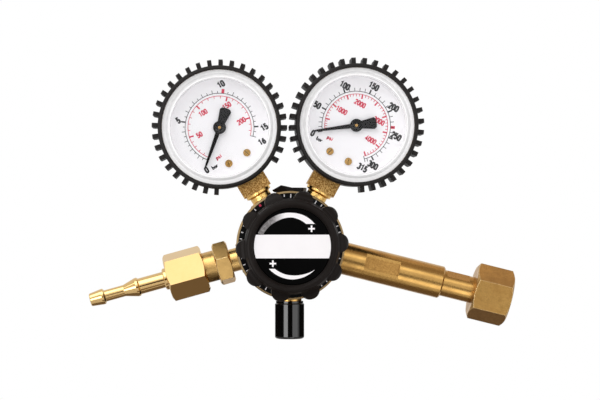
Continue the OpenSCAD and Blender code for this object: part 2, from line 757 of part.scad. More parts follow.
module inlet_stem() color(brass) front() port(inlet_angle) difference() {
    turned([
        [inlet_bore_r, thread_start], [inlet_thread_r - 1, thread_start], [inlet_thread_r, thread_start + 1],
        [inlet_thread_r, boss_reach], [stem_r, boss_reach], [stem_r, stem_end - 0.8],
        [stem_r - 0.8, stem_end], [stem_socket_r + fit, stem_end],
        [stem_socket_r + fit, spigot_start - stop_gap], [inlet_bore_r, spigot_start - stop_gap]
    ]);
    rotate([0, 0, -6]) for (side = [-1, 1])
        translate([side * (2 * stem_r - stem_flat_cut), 0, flats_start + flats_len / 2])
            cube([2 * stem_r, 4 * stem_r, flats_len], center = true);
}

module inlet_filter() color("#9c7a4a") front() port(inlet_angle)
    rod(inlet_bore_r - 0.02, thread_start + 2, thread_start + 2 + filter_len);

module inlet_nipple() color(brass) front() port(inlet_angle) difference() {
    turned([
        [inlet_bore_r, spigot_start], [stem_socket_r, spigot_start],
        [stem_socket_r, stem_end], [nipple_r, stem_end], [nipple_r, collar_start],
        [collar_r, collar_start], [collar_r, collar_end], [inlet_bore_r, collar_end]
    ]);
    rotate([0, 0, -60]) for (side = [-1, 1])
        translate([side * (2 * nipple_r - nipple_flat_cut), 0, stem_end + 1.5 + nipple_flat_len / 2])
            cube([2 * nipple_r, 4 * nipple_r, nipple_flat_len], center = true);
}

module inlet_gasket() color("#d8d2c4") front() port(inlet_angle)
    tube(collar_r - 0.8, inlet_bore_r + 0.6, collar_end, gasket_end);

module inlet_nut() color(brass) front() port(inlet_angle) difference() {
    hex_nut(inlet_nut_af, nut_start, nut_end, inlet_nut_roll, 1.6);
    turned([
        [0, nut_start - cut], [nipple_r + fit, nut_start - cut],
        [nipple_r + fit, nut_start + inlet_nut_back], [inlet_nut_thread_r + 0.4, nut_start + inlet_nut_back],
        [inlet_nut_thread_r + 0.4, nut_thread_start - 0.4], [inlet_nut_thread_r, nut_thread_start],
        [inlet_nut_thread_r, nut_end - 0.8], [inlet_nut_thread_r + 0.9, nut_end + cut], [0, nut_end + cut]
    ]);
}

module outlet_adapter() color(brass) front() port(outlet_angle) difference() {
    union() {
        turned([
            [0, thread_start], [outlet_thread_r - 1, thread_start], [outlet_thread_r, thread_start + 1],
            [outlet_thread_r, boss_reach], [neck_r, boss_reach + 0.3], [neck_r, adapter_hex_start + 1],
            [union_thread_r, adapter_hex_start + 1], [union_thread_r, adapter_end - 1],
            [union_thread_r - 1, adapter_end], [0, adapter_end]
        ]);
        hex_nut(adapter_af, adapter_hex_start, adapter_hex_end, adapter_roll);
    }
    rod(outlet_bore_r, port_floor, adapter_end + cut);
    turned([
        [0, adapter_end - seat_cone], [outlet_bore_r, adapter_end + cut - seat_cone],
        [outlet_bore_r + seat_cone, adapter_end + cut], [0, adapter_end + cut]
    ]);
}

module union_nut() color(bright_brass) front() port(outlet_angle) difference() {
    hex_nut(union_af, union_start, union_end, union_roll, 1.4);
    turned([
        [0, union_start - cut], [union_thread_r + 0.8, union_start - cut],
        [union_thread_r + fit, union_start + 0.8], [union_thread_r + fit, union_end - union_wall],
        [tail_collar_r + fit, union_end - union_wall], [tail_collar_r + fit, union_end + cut],
        [0, union_end + cut]
    ]);
}

module hose_tail() color(bright_brass) front() port(outlet_angle) turned([
    [outlet_bore_r, tail_head_start - tail_nose], [tail_nose_r - tail_nose, tail_head_start - tail_nose],
    [tail_nose_r, tail_head_start], [union_thread_r - 0.7, tail_head_start],
    [union_thread_r - 0.7, tail_head_end], [tail_collar_r, tail_head_end],
    [tail_collar_r, shank_start - 0.6], [tail_collar_r - 0.6, shank_start],
    [tail_shank_r, shank_start], [tail_shank_r, big_crest - 0.8], [big_barb_r, big_crest],
    [big_barb_r, big_crest + barb_land], [tail_waist_r, waist_start],
    [tail_waist_r, tip_crest - 0.8], [tip_barb_r, tip_crest], [tip_barb_r, tip_crest + barb_land],
    [tip_barb_r - 0.75, tail_end - 0.4], [tip_barb_r - 1.1, tail_end], [outlet_bore_r, tail_end]
]);

module relief_body() color(brass) front() port(-90) turned([
    [relief_hole_r, thread_start], [relief_thread_r, thread_start], [relief_thread_r, boss_reach],
    [relief_shell_r, boss_reach], [relief_shell_r, relief_shell_end],
    [relief_bore_r + fit, relief_shell_end], [relief_bore_r + fit, relief_seat_z],
    [relief_hole_r, relief_seat_z]
]);

module relief_poppet() color(steel) front() port(-90) turned([
    [0, relief_seat_z], [relief_bore_r, relief_seat_z], [relief_bore_r, relief_spring_start],
    [1.5, relief_spring_start], [1.5, relief_spring_end - relief_lift - stop_gap],
    [0, relief_spring_end - relief_lift - stop_gap]
]);

module relief_spring() color(steel) front() port(-90)
    spring(relief_bore_r - 0.7, 0.45, 6, relief_spring_start, relief_spring_end, sides = 6, steps = 16);

module relief_adjuster() color(brass) front() port(-90) difference() {
    rod(relief_bore_r + fit / 2, relief_spring_end, relief_shell_end);
    translate([0, 0, relief_spring_end + 1])
        cylinder(d = adjuster_af / cos(30), h = relief_cap_len, $fn = 6);
}

module relief_cap() color(black) front() port(-90) difference() {
    turned(concat(
        [
            [0, relief_cap_start], [relief_cap_r - 0.5, relief_cap_start],
            [relief_cap_r - 0.5, relief_cap_start + 1.2], [relief_cap_r, relief_cap_start + 1.7]
        ],
        arc(relief_cap_r - 1.2, relief_cap_end - 1.2, 1.2, 0, 90, 4),
        [[0, relief_cap_end]]
    ));
    rod(relief_cap_r - relief_cap_wall, relief_cap_start - cut, relief_cap_end - relief_cap_wall - 1.2);
    rod(1.5, 0, relief_cap_end + cut);
}

module top_plug() color(black) front() port(90) union() {
    rod(top_thread_r, boss_reach - top_plug_in, boss_reach + cut);
    intersection() {
        hex_nut(top_plug_af, boss_reach, boss_reach + 2 * top_plug_head, top_plug_roll, 0.9);
        translate([0, 0, boss_reach]) rotate([90, 0, 90]) linear_extrude(2 * top_plug_af, center = true)
            polygon([
                [-top_plug_af, 0], [-top_plug_af, top_plug_flat], [-1, top_plug_flat],
                [top_plug_ridge, top_plug_head], [top_plug_af / 2 + 1, top_plug_corner],
                [top_plug_af / 2 + 1, 0]
            ]);
    }
}

// One tooth of a boot, seen from its side
module boot_tooth() rotate([90, 0, 0]) linear_extrude(tooth_w, center = true) polygon([
    [boot_r - 0.9, tooth_back], [tooth_tip_r - 1, tooth_back], [tooth_tip_r, tooth_back + 1.2],
    [tooth_tip_r, tooth_front - 1.1], [tooth_tip_r - 0.7, tooth_front], [boot_r - 0.9, tooth_front]
]);

module gauge_boot(turn) difference() {
    union() {
        turned(concat(
            [[boot_bore_r - back_lip_w, boot_back], [boot_r - 2, boot_back], [boot_r, boot_back + 2]],
            arc(boot_r - boot_round, boot_front - boot_round, boot_round, 0, 90, 4),
            arc(window_r + window_round, boot_front - window_round, window_round, 90, 180, 2),
            [[window_r, case_front + lens_t], [boot_bore_r, case_front + lens_t],
             [boot_bore_r, case_back - fit], [boot_bore_r - back_lip_w, case_back - fit]]
        ));
        for (i = [0:teeth - 1])
            rotate([0, 0, 90 + turn + (i - (teeth - 1) / 2) * tooth_step]) boot_tooth();
    }
    translate([0, -boot_r, 0])
        cube([socket_w + 2 * notch_gap, 2 * back_lip_w, socket_w + 2 * notch_gap], center = true);
}

module gauge_case() difference() {
    turned([
        [0, case_back], [case_r - 2, case_back], [case_r, case_back + 2], [case_r, case_front],
        [case_r - case_wall, case_front], [case_r - case_wall, case_back + case_wall + 1.4],
        [case_r - case_wall - 1.4, case_back + case_wall], [0, case_back + case_wall]
    ]);
    translate([0, -case_r, 0]) cube([socket_w + 2 * fit, 10, socket_w + fit], center = true);
}

module gauge_lens() turned(concat(
    [[0, case_front + 0.6 - lens_t], [lens_step_r, case_front - lens_t],
     [lens_step_r, dial_face + fit], [lens_step_r + 1.2, dial_face + fit],
     [lens_step_r + 1.2, case_front - lens_t], [case_r - case_wall - fit, case_front - lens_t],
     [case_r - case_wall - fit, case_front], [window_r - fit, case_front],
     [window_r - fit, case_front + 0.5], [lens_step_r + 2.4, case_front + 0.5],
     [lens_step_r + 1, case_front + 1.5]],
    [[0, case_front + 2.1]]
));

module dial_screw_places() for (side = [-1, 1]) rotate([0, 0, -90 + side * dial_screw_angle])
    translate([dial_screw_reach, 0, 0]) children();

module gauge_dial() difference() {
    rod(dial_r, dial_back, dial_face);
    rod(1.6, dial_back - cut, dial_face + cut);
    dial_screw_places() rod(1.35, dial_back - cut, dial_face + cut);
}

module gauge_dial_screws() dial_screw_places() difference() {
    union() {
        turned([
            [0, dial_face], [2, dial_face], [2, dial_face + 0.6], [1.6, dial_face + 1], [0, dial_face + 1]
        ]);
        rod(1.2, dial_back - 4, dial_face + cut);
    }
    translate([0, 0, dial_face + 1]) cube([5, 0.6, 0.9], center = true);
}

// Square block with the neck that screws into the body
module gauge_socket() difference() {
    union() {
        translate([-socket_half, socket_y, -socket_half])
            cube([socket_w, socket_top_y - socket_y, socket_w]);
        translate([-socket_half + 2, socket_top_y - cut, -socket_half])
            cube([socket_w - 4, ledge_top_y - socket_top_y + cut, socket_half + lower_plate_z]);
        dial_screw_places() rod(2.4, socket_half - cut, dial_back);
        translate([0, -gauge_reach, 0]) rotate([-90, 0, 0]) turned([
            [0, thread_start], [gauge_thread_r - 1, thread_start], [gauge_thread_r, thread_start + 1],
            [gauge_thread_r, boss_reach], [gauge_neck_r, boss_reach + 0.6],
            [gauge_neck_r, neck_collar_start - 0.6], [gauge_collar_r - 0.3, neck_collar_start],
            [gauge_collar_r, neck_collar_start + 0.3], [gauge_collar_r, socket_start + cut],
            [0, socket_start + cut]
        ]);
    }
    dial_screw_places() rod(1.25, dial_back - 4.5, dial_back + cut);
    translate([0, -gauge_reach, 0]) rotate([-90, 0, 0]) rod(passage_r, port_floor, gauge_reach - tube_r + 1);
    translate([0, -tube_r + 0.3, 0]) rotate([0, -90, 0]) rod(1, 0, 5);
    rotate([0, 0, tube_foot - 22]) rotate_extrude(angle = 23)
        translate([tube_r - tube_thick / 2 - fit, -tube_high / 2 - fit])
            square([tube_thick + 2 * fit, tube_high + 2 * fit]);
}

module flat_oval(thick, high) union() {
    square([thick, high - thick], center = true);
    for (side = [-1, 1]) translate([0, side * (high - thick) / 2]) circle(d = thick);
}

// Flattened tube bent to a C, closed by a tip that carries the link
module gauge_tube() difference() {
    union() {
        rotate([0, 0, tube_tip]) rotate_extrude(angle = tube_foot - tube_tip) translate([tube_r, 0])
            flat_oval(tube_thick, tube_high);
        rotate([0, 0, tube_tip]) translate([tube_r - 1.6, -1.9, -tube_high / 2])
            cube([2.8, 3.4, tube_high / 2 + link_z - 0.1]);
    }
    rotate([0, 0, tube_tip + 5]) rotate_extrude(angle = tube_foot - tube_tip) translate([tube_r, 0])
        flat_oval(tube_thick - 0.9, tube_high - 0.9);
    translate([tip_pin[0], tip_pin[1], 0]) rod(link_pin_r + fit, link_z - 1.6, link_z + cut);
}

// Flat bar with round ends
module strap(a, b, w) {
    d = b - a;
    translate(a) rotate(atan2(d[1], d[0])) translate([0, -w / 2]) square([norm(d), w]);
    translate(a) circle(d = w);
    translate(b) circle(d = w);
}

module movement_plate(z) difference() {
    translate([0, 0, z]) linear_extrude(plate_thin) union() {
        strap([0, 0], pivot, 5);
        strap([0, 0], pillar_left, pillar_strap);
        strap(pivot, pillar, pillar_strap);
        strap(pillar_left, pillar, pillar_strap);
    }
    rod(arbor_r + fit, z - cut, z + plate_thin + cut);
    translate([pivot[0], pivot[1], 0]) rod(arbor_r + fit, z - cut, z + plate_thin + cut);
}

module gauge_movement() union() {
    movement_plate(lower_plate_z);
    movement_plate(upper_plate_z);
    for (p = [pillar, pillar_left]) translate([p[0], p[1], 0])
        rod(1.2, lower_plate_z + cut, upper_plate_z + cut);
}

// One gear tooth on a wheel of pitch radius r, pointing along x
module gear_tooth(r) polygon([
    [r - 1.3 * gear_module, -0.9 * gear_module], [r + 0.1 * gear_module, -0.6 * gear_module],
    [r + 0.9 * gear_module, -0.25 * gear_module], [r + 0.9 * gear_module, 0.25 * gear_module],
    [r + 0.1 * gear_module, 0.6 * gear_module], [r - 1.3 * gear_module, 0.9 * gear_module]
]);

module gauge_pinion() union() {
    translate([0, 0, sector_z - 0.5]) linear_extrude(sector_t + 1) union() {
        circle(r = pinion_r - 1.15 * gear_module);
        for (i = [0:pinion_teeth - 1]) rotate(pivot_angle + (i + 0.5) * 360 / pinion_teeth)
            gear_tooth(pinion_r);
    }
    rod(arbor_r, lower_plate_z, pointer_z + pointer_t + 0.3);
}

// Toothed sector: its teeth reach back from the mesh point by the sector's whole turn
module gauge_sector() {
    step = 360 / wheel_teeth;
    back = ceil(sector_turn / step) + 2;
    ahead = 2;
    translate([pivot[0], pivot[1], 0]) rotate([0, 0, pivot_angle + 180]) difference() {
        union() {
            translate([0, 0, sector_z]) linear_extrude(sector_t) union() {
                for (i = [-back:ahead]) rotate(i * step) gear_tooth(wheel_r);
                polygon(concat(
                    arc(0, 0, wheel_r - 1.15 * gear_module, -(back + 0.5) * step, (ahead + 0.5) * step, 12),
                    arc(0, 0, wheel_r - 2.4, (ahead + 0.5) * step, -(back + 0.5) * step, 12)
                ));
                for (a = [-(back - 0.5) * step, (ahead - 0.5) * step]) rotate(a)
                    translate([0, -0.6]) square([wheel_r - 1.6, 1.2]);
                circle(r = 2);
                rotate(180) translate([0, -0.9]) square([sector_tail, 1.8]);
                rotate(180) translate([sector_tail, 0]) circle(r = 1.2);
            }
            rod(arbor_r, lower_plate_z, upper_plate_z + plate_thin);
        }
        rotate([0, 0, 180]) translate([sector_tail, 0, 0])
            rod(link_pin_r + fit, sector_z - cut, sector_z + sector_t + cut);
    }
}

module gauge_link() union() {
    translate([0, 0, link_z]) linear_extrude(link_t) strap(tail_pin, tip_pin, 1.6);
    translate([tail_pin[0], tail_pin[1], 0]) rod(link_pin_r, sector_z, link_z + cut);
    translate([tip_pin[0], tip_pin[1], 0]) rod(link_pin_r, link_z - 1.4, link_z + cut);
}

// Needle, hub and a tail that widens to a rounded end
module pointer_outline() difference() {
    union() {
        circle(r = hub_r);
        polygon([[0, -needle_half], [needle_len - 2, -0.4 * needle_half], [needle_len, -0.1],
            [needle_len, 0.1], [needle_len - 2, 0.4 * needle_half], [0, needle_half]]);
        polygon(concat(
            [[0, -tail_half], [0, tail_half], [tail_corner - tail_len, tail_end_half]],
            arc(0, 0, tail_len, 180 - tail_end_turn, 180 + tail_end_turn, 6),
            [[tail_corner - tail_len, -tail_end_half]]
        ));
    }
    circle(r = arbor_r + 0.02);
}

// Pointer that rests on the zero mark
module gauge_pointer(zero) rotate([0, 0, zero]) translate([0, 0, pointer_z])
    linear_extrude(pointer_t) pointer_outline();

module low_boot() color(rubber) front() gauge(low_gauge_angle) gauge_boot(-boot_turn);
module low_case() color(brass) front() gauge(low_gauge_angle) gauge_case();
module low_lens() color([0.9, 0.93, 0.95, 0.35]) front() gauge(low_gauge_angle) gauge_lens();
module low_dial() color(white) front() gauge(low_gauge_angle) gauge_dial();
module low_dial_screws() color(brass) front() gauge(low_gauge_angle) gauge_dial_screws();
module low_socket() color(dull_brass) front() gauge(low_gauge_angle) gauge_socket();
module low_tube() color(bright_brass) front() gauge(low_gauge_angle) gauge_tube();
module low_movement() color(brass) front() gauge(low_gauge_angle) gauge_movement();
module low_sector() color(bright_brass) front() gauge(low_gauge_angle) gauge_sector();
module low_link() color(steel) front() gauge(low_gauge_angle) gauge_link();
module low_pinion() color(brass) front() gauge(low_gauge_angle) gauge_pinion();
module low_pointer() color(black) front() gauge(low_gauge_angle) gauge_pointer(low_zero);

module high_boot() color(rubber) front() gauge(high_gauge_angle) gauge_boot(boot_turn);
module high_case() color(brass) front() gauge(high_gauge_angle) gauge_case();
module high_lens() color([0.9, 0.93, 0.95, 0.35]) front() gauge(high_gauge_angle) gauge_lens();
module high_dial() color(white) front() gauge(high_gauge_angle) gauge_dial();
module high_dial_screws() color(brass) front() gauge(high_gauge_angle) gauge_dial_screws();
module high_socket() color(dull_brass) front() gauge(high_gauge_angle) gauge_socket();
module high_tube() color(bright_brass) front() gauge(high_gauge_angle) gauge_tube();
module high_movement() color(brass) front() gauge(high_gauge_angle) gauge_movement();
module high_sector() color(bright_brass) front() gauge(high_gauge_angle) gauge_sector();
module high_link() color(steel) front() gauge(high_gauge_angle) gauge_link();
module high_pinion() color(brass) front() gauge(high_gauge_angle) gauge_pinion();
module high_pointer() color(black) front() gauge(high_gauge_angle) gauge_pointer(high_zero);

body();
bonnet();
scale_ring();
diaphragm();
slip_ring();
nozzle();
rear_plug();
rear_plug_seal();
inlet_stem();
inlet_filter();
inlet_nipple();
inlet_gasket();
outlet_adapter();
relief_body();
relief_adjuster();
relief_cap();
relief_spring();
relief_poppet();
top_plug();
main_spring();
spring_button();
thrust_ball();
adjusting_screw();
knob();
knob_disc();
pressure_plate();
valve_pin();
valve_poppet();
poppet_spring();
inlet_nut();
union_nut();
hose_tail();
low_boot();
low_case();
low_lens();
low_dial();
low_dial_screws();
low_socket();
low_tube();
low_movement();
low_sector();
low_link();
low_pinion();
low_pointer();
high_boot();
high_case();
high_lens();
high_dial();
high_dial_screws();
high_socket();
high_tube();
high_movement();
high_sector();
high_link();
high_pinion();
high_pointer();
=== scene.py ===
"""Looks of a gas cylinder regulator: finishes, dial printing, threads, light and camera."""

import json
from math import atan2, ceil, cos, pi, radians, sin, sqrt

import bmesh
import bpy
from mathutils import Matrix, Vector


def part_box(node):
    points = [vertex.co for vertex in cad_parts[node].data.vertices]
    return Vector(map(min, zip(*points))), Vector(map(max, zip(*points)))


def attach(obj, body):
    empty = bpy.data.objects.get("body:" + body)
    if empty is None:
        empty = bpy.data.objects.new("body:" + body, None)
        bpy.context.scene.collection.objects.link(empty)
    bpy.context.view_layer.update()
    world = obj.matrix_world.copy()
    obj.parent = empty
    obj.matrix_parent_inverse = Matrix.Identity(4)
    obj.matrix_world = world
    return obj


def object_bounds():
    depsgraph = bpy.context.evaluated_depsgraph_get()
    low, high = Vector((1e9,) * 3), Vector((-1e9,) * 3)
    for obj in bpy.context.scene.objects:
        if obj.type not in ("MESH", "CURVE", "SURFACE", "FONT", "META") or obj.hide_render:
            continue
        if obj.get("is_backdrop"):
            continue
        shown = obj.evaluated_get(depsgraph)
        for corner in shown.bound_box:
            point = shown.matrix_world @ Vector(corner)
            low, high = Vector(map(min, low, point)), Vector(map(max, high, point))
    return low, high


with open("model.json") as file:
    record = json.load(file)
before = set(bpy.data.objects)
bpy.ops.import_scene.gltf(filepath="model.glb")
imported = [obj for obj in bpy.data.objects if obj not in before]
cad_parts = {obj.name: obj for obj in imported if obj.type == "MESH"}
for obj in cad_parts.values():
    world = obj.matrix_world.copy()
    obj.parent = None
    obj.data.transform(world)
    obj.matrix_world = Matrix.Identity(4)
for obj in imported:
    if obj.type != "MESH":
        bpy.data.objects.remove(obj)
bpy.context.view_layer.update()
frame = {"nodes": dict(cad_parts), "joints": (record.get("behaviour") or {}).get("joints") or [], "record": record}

MM = 0.001
joints = {joint["name"]: joint for joint in frame["joints"]}
slots = {part["node"]: part["material_slot"] for part in frame["record"]["subparts"]}
up = Vector((0, 0, 1))
towards_viewer = Vector((0, -1, 0))

# Places that the frame gives
knob_point = Vector(joints["knob_turn"]["pos_m"])
body_centre = Vector((knob_point.x, 0, knob_point.z))
inlet_axis = Vector(joints["inlet_nut_spin"]["axis"]).normalized()
outlet_axis = Vector(joints["hose_tail_draw"]["axis"]).normalized()


def basis(x_axis, y_axis, z_axis, origin):
    """Matrix of a frame with these axes and origin."""
    matrix = Matrix((x_axis, y_axis, z_axis)).transposed().to_4x4()
    matrix.translation = origin
    return matrix


def along(axis, origin):
    """A frame whose z runs along axis and whose x is level."""
    z_axis = Vector(axis).normalized()
    x_axis = Vector((0, 1, 0)).cross(z_axis).normalized()
    if x_axis.length < 0.5:
        x_axis = Vector((1, 0, 0))
    return basis(x_axis, z_axis.cross(x_axis), z_axis, origin)


# Materials

SAND_BRASS = (0.66, 0.42, 0.15)
DULL_BRASS = (0.4, 0.29, 0.15)
YELLOW_BRASS = (0.56, 0.33, 0.1)
PALE_BRASS = (0.68, 0.46, 0.2)
BROWN_BRASS = (0.2, 0.09, 0.022)
BRIGHT_BRASS = (0.85, 0.55, 0.18)
# Pale brass that edges are lightened towards: partly rubbed wear, partly a painted highlight
WORN_HIGHLIGHT_BRASS = (0.95, 0.78, 0.45)
# Colour of the shade painted into slots and corners
RECESS_SHADE_COLOUR = (0.05, 0.025, 0.01)
INK_BLACK = (0.012, 0.012, 0.014)
INK_RED = (0.66, 0.03, 0.08)
PRINT_WHITE = (0.88, 0.85, 0.86)

# Fineness of the patterns, in waves per metre
CLOUDS, SPOTS, SCUFFS, PITS, MOULD_GRAIN = 95, 420, 900, 1500, 2600
LATHE_RINGS, GROUND_RINGS = 5200, 4200

# Radius in mm from which a lens is painted milky white, standing in for the light that its clear rim
# carries and scatters, and length along a gauge's axis where its socket block starts
RIM_START, SOCKET_START = 26.4, 33.7

materials = {}


class Shader:
    """A node material, kept in materials, whose steps are added one after another."""

    def __init__(self, name, colour, roughness, metallic=0.0, **sockets):
        self.material = bpy.data.materials.new(name)
        materials[name] = self.material
        self.material.use_nodes = True
        self.tree = self.material.node_tree
        self.surface = self.tree.nodes["Principled BSDF"]
        self.surface.inputs["Base Color"].default_value = (*colour, 1)
        self.surface.inputs["Roughness"].default_value = roughness
        self.surface.inputs["Metallic"].default_value = metallic
        for socket, value in sockets.items():
            self.surface.inputs[socket.replace("_", " ")].default_value = value
        self.coords = self.node("ShaderNodeTexCoord").outputs["Object"]

    def node(self, kind, **inputs):
        made = self.tree.nodes.new(kind)
        for socket, value in inputs.items():
            self.feed(made.inputs[socket.replace("_", " ")], value)
        return made

    def feed(self, socket, value):
        if isinstance(value, bpy.types.NodeSocket):
            self.tree.links.new(value, socket)
        else:
            socket.default_value = value

    def turned(self, matrix, stretch):
        """Coordinates in the frame of matrix, scaled by stretch along its axes."""
        inverse = matrix.inverted()
        mapping = self.node("ShaderNodeMapping", Vector=self.coords)
        mapping.inputs["Location"].default_value = inverse.translation
        mapping.inputs["Rotation"].default_value = inverse.to_euler("XYZ")
        scale = self.node("ShaderNodeVectorMath", Vector=mapping.outputs["Vector"])
        scale.operation = "MULTIPLY"
        scale.inputs[1].default_value = stretch
        return scale.outputs["Vector"]

    def reach(self, matrix):
        """Distance from the z axis of matrix, in metres."""
        length = self.node("ShaderNodeVectorMath")
        length.operation = "LENGTH"
        self.feed(length.inputs[0], self.turned(matrix, (1, 1, 0)))
        return length.outputs["Value"]

    def height(self, matrix):
        """Distance along the z axis of matrix, in metres."""
        parts = self.node("ShaderNodeSeparateXYZ", Vector=self.turned(matrix, (1, 1, 1)))
        return parts.outputs["Z"]

    def noise(self, scale, detail=3.0, rough=0.5, coords=None):
        made = self.node("ShaderNodeTexNoise", Vector=coords or self.coords, Scale=scale)
        made.inputs["Detail"].default_value = detail
        made.inputs["Roughness"].default_value = rough
        return made.outputs["Fac"]

    def span(self, value, low, high, to_low, to_high):
        """value taken from the range low to high into the range to_low to to_high."""
        made = self.node("ShaderNodeMapRange", Value=value, From_Min=low, From_Max=high,
                         To_Min=to_low, To_Max=to_high)
        return made.outputs["Result"]

    def blend(self, amount, colour_a, colour_b):
        made = self.tree.nodes.new("ShaderNodeMix")
        made.data_type = "RGBA"
        self.feed(made.inputs["Factor"], amount)
        for socket, colour in ((made.inputs[6], colour_a), (made.inputs[7], colour_b)):
            self.feed(socket, colour if isinstance(colour, bpy.types.NodeSocket) else (*colour, 1))
        return made.outputs[2]

    def product(self, a, b):
        made = self.node("ShaderNodeMath")
        made.operation = "MULTIPLY"
        self.feed(made.inputs[0], a)
        self.feed(made.inputs[1], b)
        return made.outputs["Value"]

    def mixed(self, amount, first, second):
        """One shader node laid over another by amount."""
        made = self.tree.nodes.new("ShaderNodeMixShader")
        self.feed(made.inputs["Fac"], amount)
        for k, shader in ((1, first), (2, second)):
            self.tree.links.new(shader.outputs[0], made.inputs[k])
        return made

    def bump(self, height, depth, below=None):
        """Bump of depth metres from a height of 0 to 1, on top of the normal below."""
        made = self.node("ShaderNodeBump", Height=height)
        made.inputs["Strength"].default_value = 1.0
        made.inputs["Distance"].default_value = depth
        if below is not None:
            self.feed(made.inputs["Normal"], below)
        return made.outputs["Normal"]

    def rounded(self, radius):
        """Normals of edges rounded to radius."""
        made = self.node("ShaderNodeBevel", Radius=radius)
        made.samples = 6
        return made.outputs["Normal"]

    def edges(self, normal, low, high):
        """1 where the rounded normal leaves the face's own, as along an edge, and 0 elsewhere."""
        turn = self.node("ShaderNodeVectorMath")
        turn.operation = "DOT_PRODUCT"
        self.feed(turn.inputs[0], normal)
        self.feed(turn.inputs[1], self.node("ShaderNodeNewGeometry").outputs["Normal"])
        return self.span(turn.outputs["Value"], high, low, 0, 1)

    def recesses(self, distance):
        """1 deep in slots and corners, and 0 on open faces."""
        hidden = self.node("ShaderNodeAmbientOcclusion", Distance=distance)
        hidden.samples = 8
        open_share, hidden_share = 0.75, 0.35
        return self.span(hidden.outputs["AO"], open_share, hidden_share, 0, 1)

    def set(self, socket, value):
        self.feed(self.surface.inputs[socket], value)


def brass(name, colour, roughness, matrix, dark=BROWN_BRASS, lathe=0.5, grain=0.0, stain=0.5, edge=0.2,
          flat_under=0, bright_below=0, worn_highlight=0.0, recess_shade=0.0):
    """Brass with lathe rings round the z axis of matrix, sand grain, stains and eased edges.

    Flats nearer to the axis than flat_under mm keep the rough skin of the bar. The stretch below
    bright_below mm along the axis is turned bright. The argument after it sets how far the edges are
    lightened, partly rubbed wear and partly a painted highlight line, and the last one how dark the
    shade painted into slots and corners is.
    """
    made = Shader(name, colour, roughness, metallic=1.0)
    rings = made.noise(1.0, 4.0, 0.65, made.turned(matrix, (12, 12, LATHE_RINGS)))
    cloud = made.noise(CLOUDS, 4.0, 0.6)
    spots = made.span(made.noise(SPOTS, 5.0, 0.7), 0.5, 0.72, 0, 1)
    tone = made.blend(made.span(cloud, 0.35, 0.7, 0, stain), colour, dark)
    tone = made.blend(made.product(spots, 0.55 * stain), tone, dark)
    if grain:
        pits = made.noise(PITS, 2.0, 0.6)
        tone = made.blend(made.span(pits, 0.42, 0.62, 0.75 * grain, 0), tone, dark)
    rough = made.span(made.product(cloud, made.span(rings, 0.3, 0.7, 0.8, 1.2)), 0.2, 0.8, 0.75, 1.35)
    if flat_under:
        flat = made.span(made.reach(matrix), (flat_under - 0.1) * MM, flat_under * MM, 1, 0)
        skin = made.span(made.noise(PITS, 2.0, 0.6), 0.4, 0.65, 0.6, 0.1)
        tone = made.blend(made.product(flat, skin), tone, dark)
        rough = made.span(flat, 0, 1, rough, 2.2)
    if bright_below:
        bright = made.span(made.height(matrix), bright_below * MM, (bright_below + 0.2) * MM, 1, 0)
        tone = made.blend(bright, tone, BRIGHT_BRASS)
        rough = made.span(bright, 0, 1, rough, 0.35)
    normal = made.rounded(edge * MM)
    # Painted highlight, partly real wear: edges lightened towards a pale brass
    if worn_highlight:
        tone = made.blend(made.product(made.edges(normal, 0.9, 0.995), worn_highlight), tone, WORN_HIGHLIGHT_BRASS)
    # Painted shade: slots and corners darkened by how hidden they are from their surroundings
    if recess_shade:
        tone = made.blend(made.product(made.recesses(1.2 * MM), recess_shade), tone, RECESS_SHADE_COLOUR)
    made.set("Base Color", tone)
    made.set("Roughness", made.product(rough, roughness))
    normal = made.bump(rings, lathe * 0.006 * MM, normal)
    if grain:
        normal = made.bump(pits, grain * 0.12 * MM, normal)
    made.set("Normal", normal)


def moulded(name, colour, roughness, grain, wear=(0.16, 0.15, 0.15), edge=0.25, **sockets):
    """Moulded rubber or plastic with a fine grain, faint dust and eased edges."""
    made = Shader(name, colour, roughness, **sockets)
    cloud = made.noise(70, 4.0, 0.6)
    fine = made.noise(MOULD_GRAIN, 2.0, 0.5)
    made.set("Base Color", made.blend(made.span(cloud, 0.45, 0.8, 0, 0.22), colour, wear))
    made.set("Roughness", made.span(cloud, 0.3, 0.75, roughness * 0.85, min(1, roughness * 1.2)))
    made.set("Normal", made.bump(fine, grain * MM, made.rounded(edge * MM)))


def painted(name, colour, roughness, other, gloss=0.5):
    """Smooth paint or ink with a faint change of tone."""
    made = Shader(name, colour, roughness, Specular_IOR_Level=gloss)
    cloud = made.noise(140, 3.0, 0.5)
    made.set("Base Color", made.blend(made.span(cloud, 0.35, 0.7, 0, 0.5), colour, other))
    made.set("Roughness", made.span(cloud, 0.3, 0.7, roughness * 0.85, roughness * 1.2))
    made.set("Normal", made.bump(made.noise(SCUFFS, 2.0), 0.004 * MM))


def faded(name, colour, end_colour, matrix, start, end):
    """Print that fades from colour to a second colour between two places on the z axis of matrix."""
    made = Shader(name, colour, 0.4, Specular_IOR_Level=0.2)
    scuffs = made.span(made.noise(SCUFFS, 4.0, 0.7), 0.3, 0.7, 0.75, 1.2)
    fade = made.product(made.span(made.height(matrix), start * MM, end * MM, 0, 1), scuffs)
    made.set("Base Color", made.blend(fade, colour, end_colour))
    made.set("Normal", made.bump(made.noise(SCUFFS, 2.0), 0.004 * MM))


def steel(name, colour, roughness, matrix):
    """Ground steel with fine rings round the z axis of matrix."""
    made = Shader(name, colour, roughness, metallic=1.0)
    rings = made.noise(1.0, 3.0, 0.6, made.turned(matrix, (10, 10, GROUND_RINGS)))
    made.set("Roughness", made.span(rings, 0.3, 0.7, roughness * 0.8, roughness * 1.3))
    made.set("Normal", made.bump(rings, 0.003 * MM, made.rounded(0.1 * MM)))


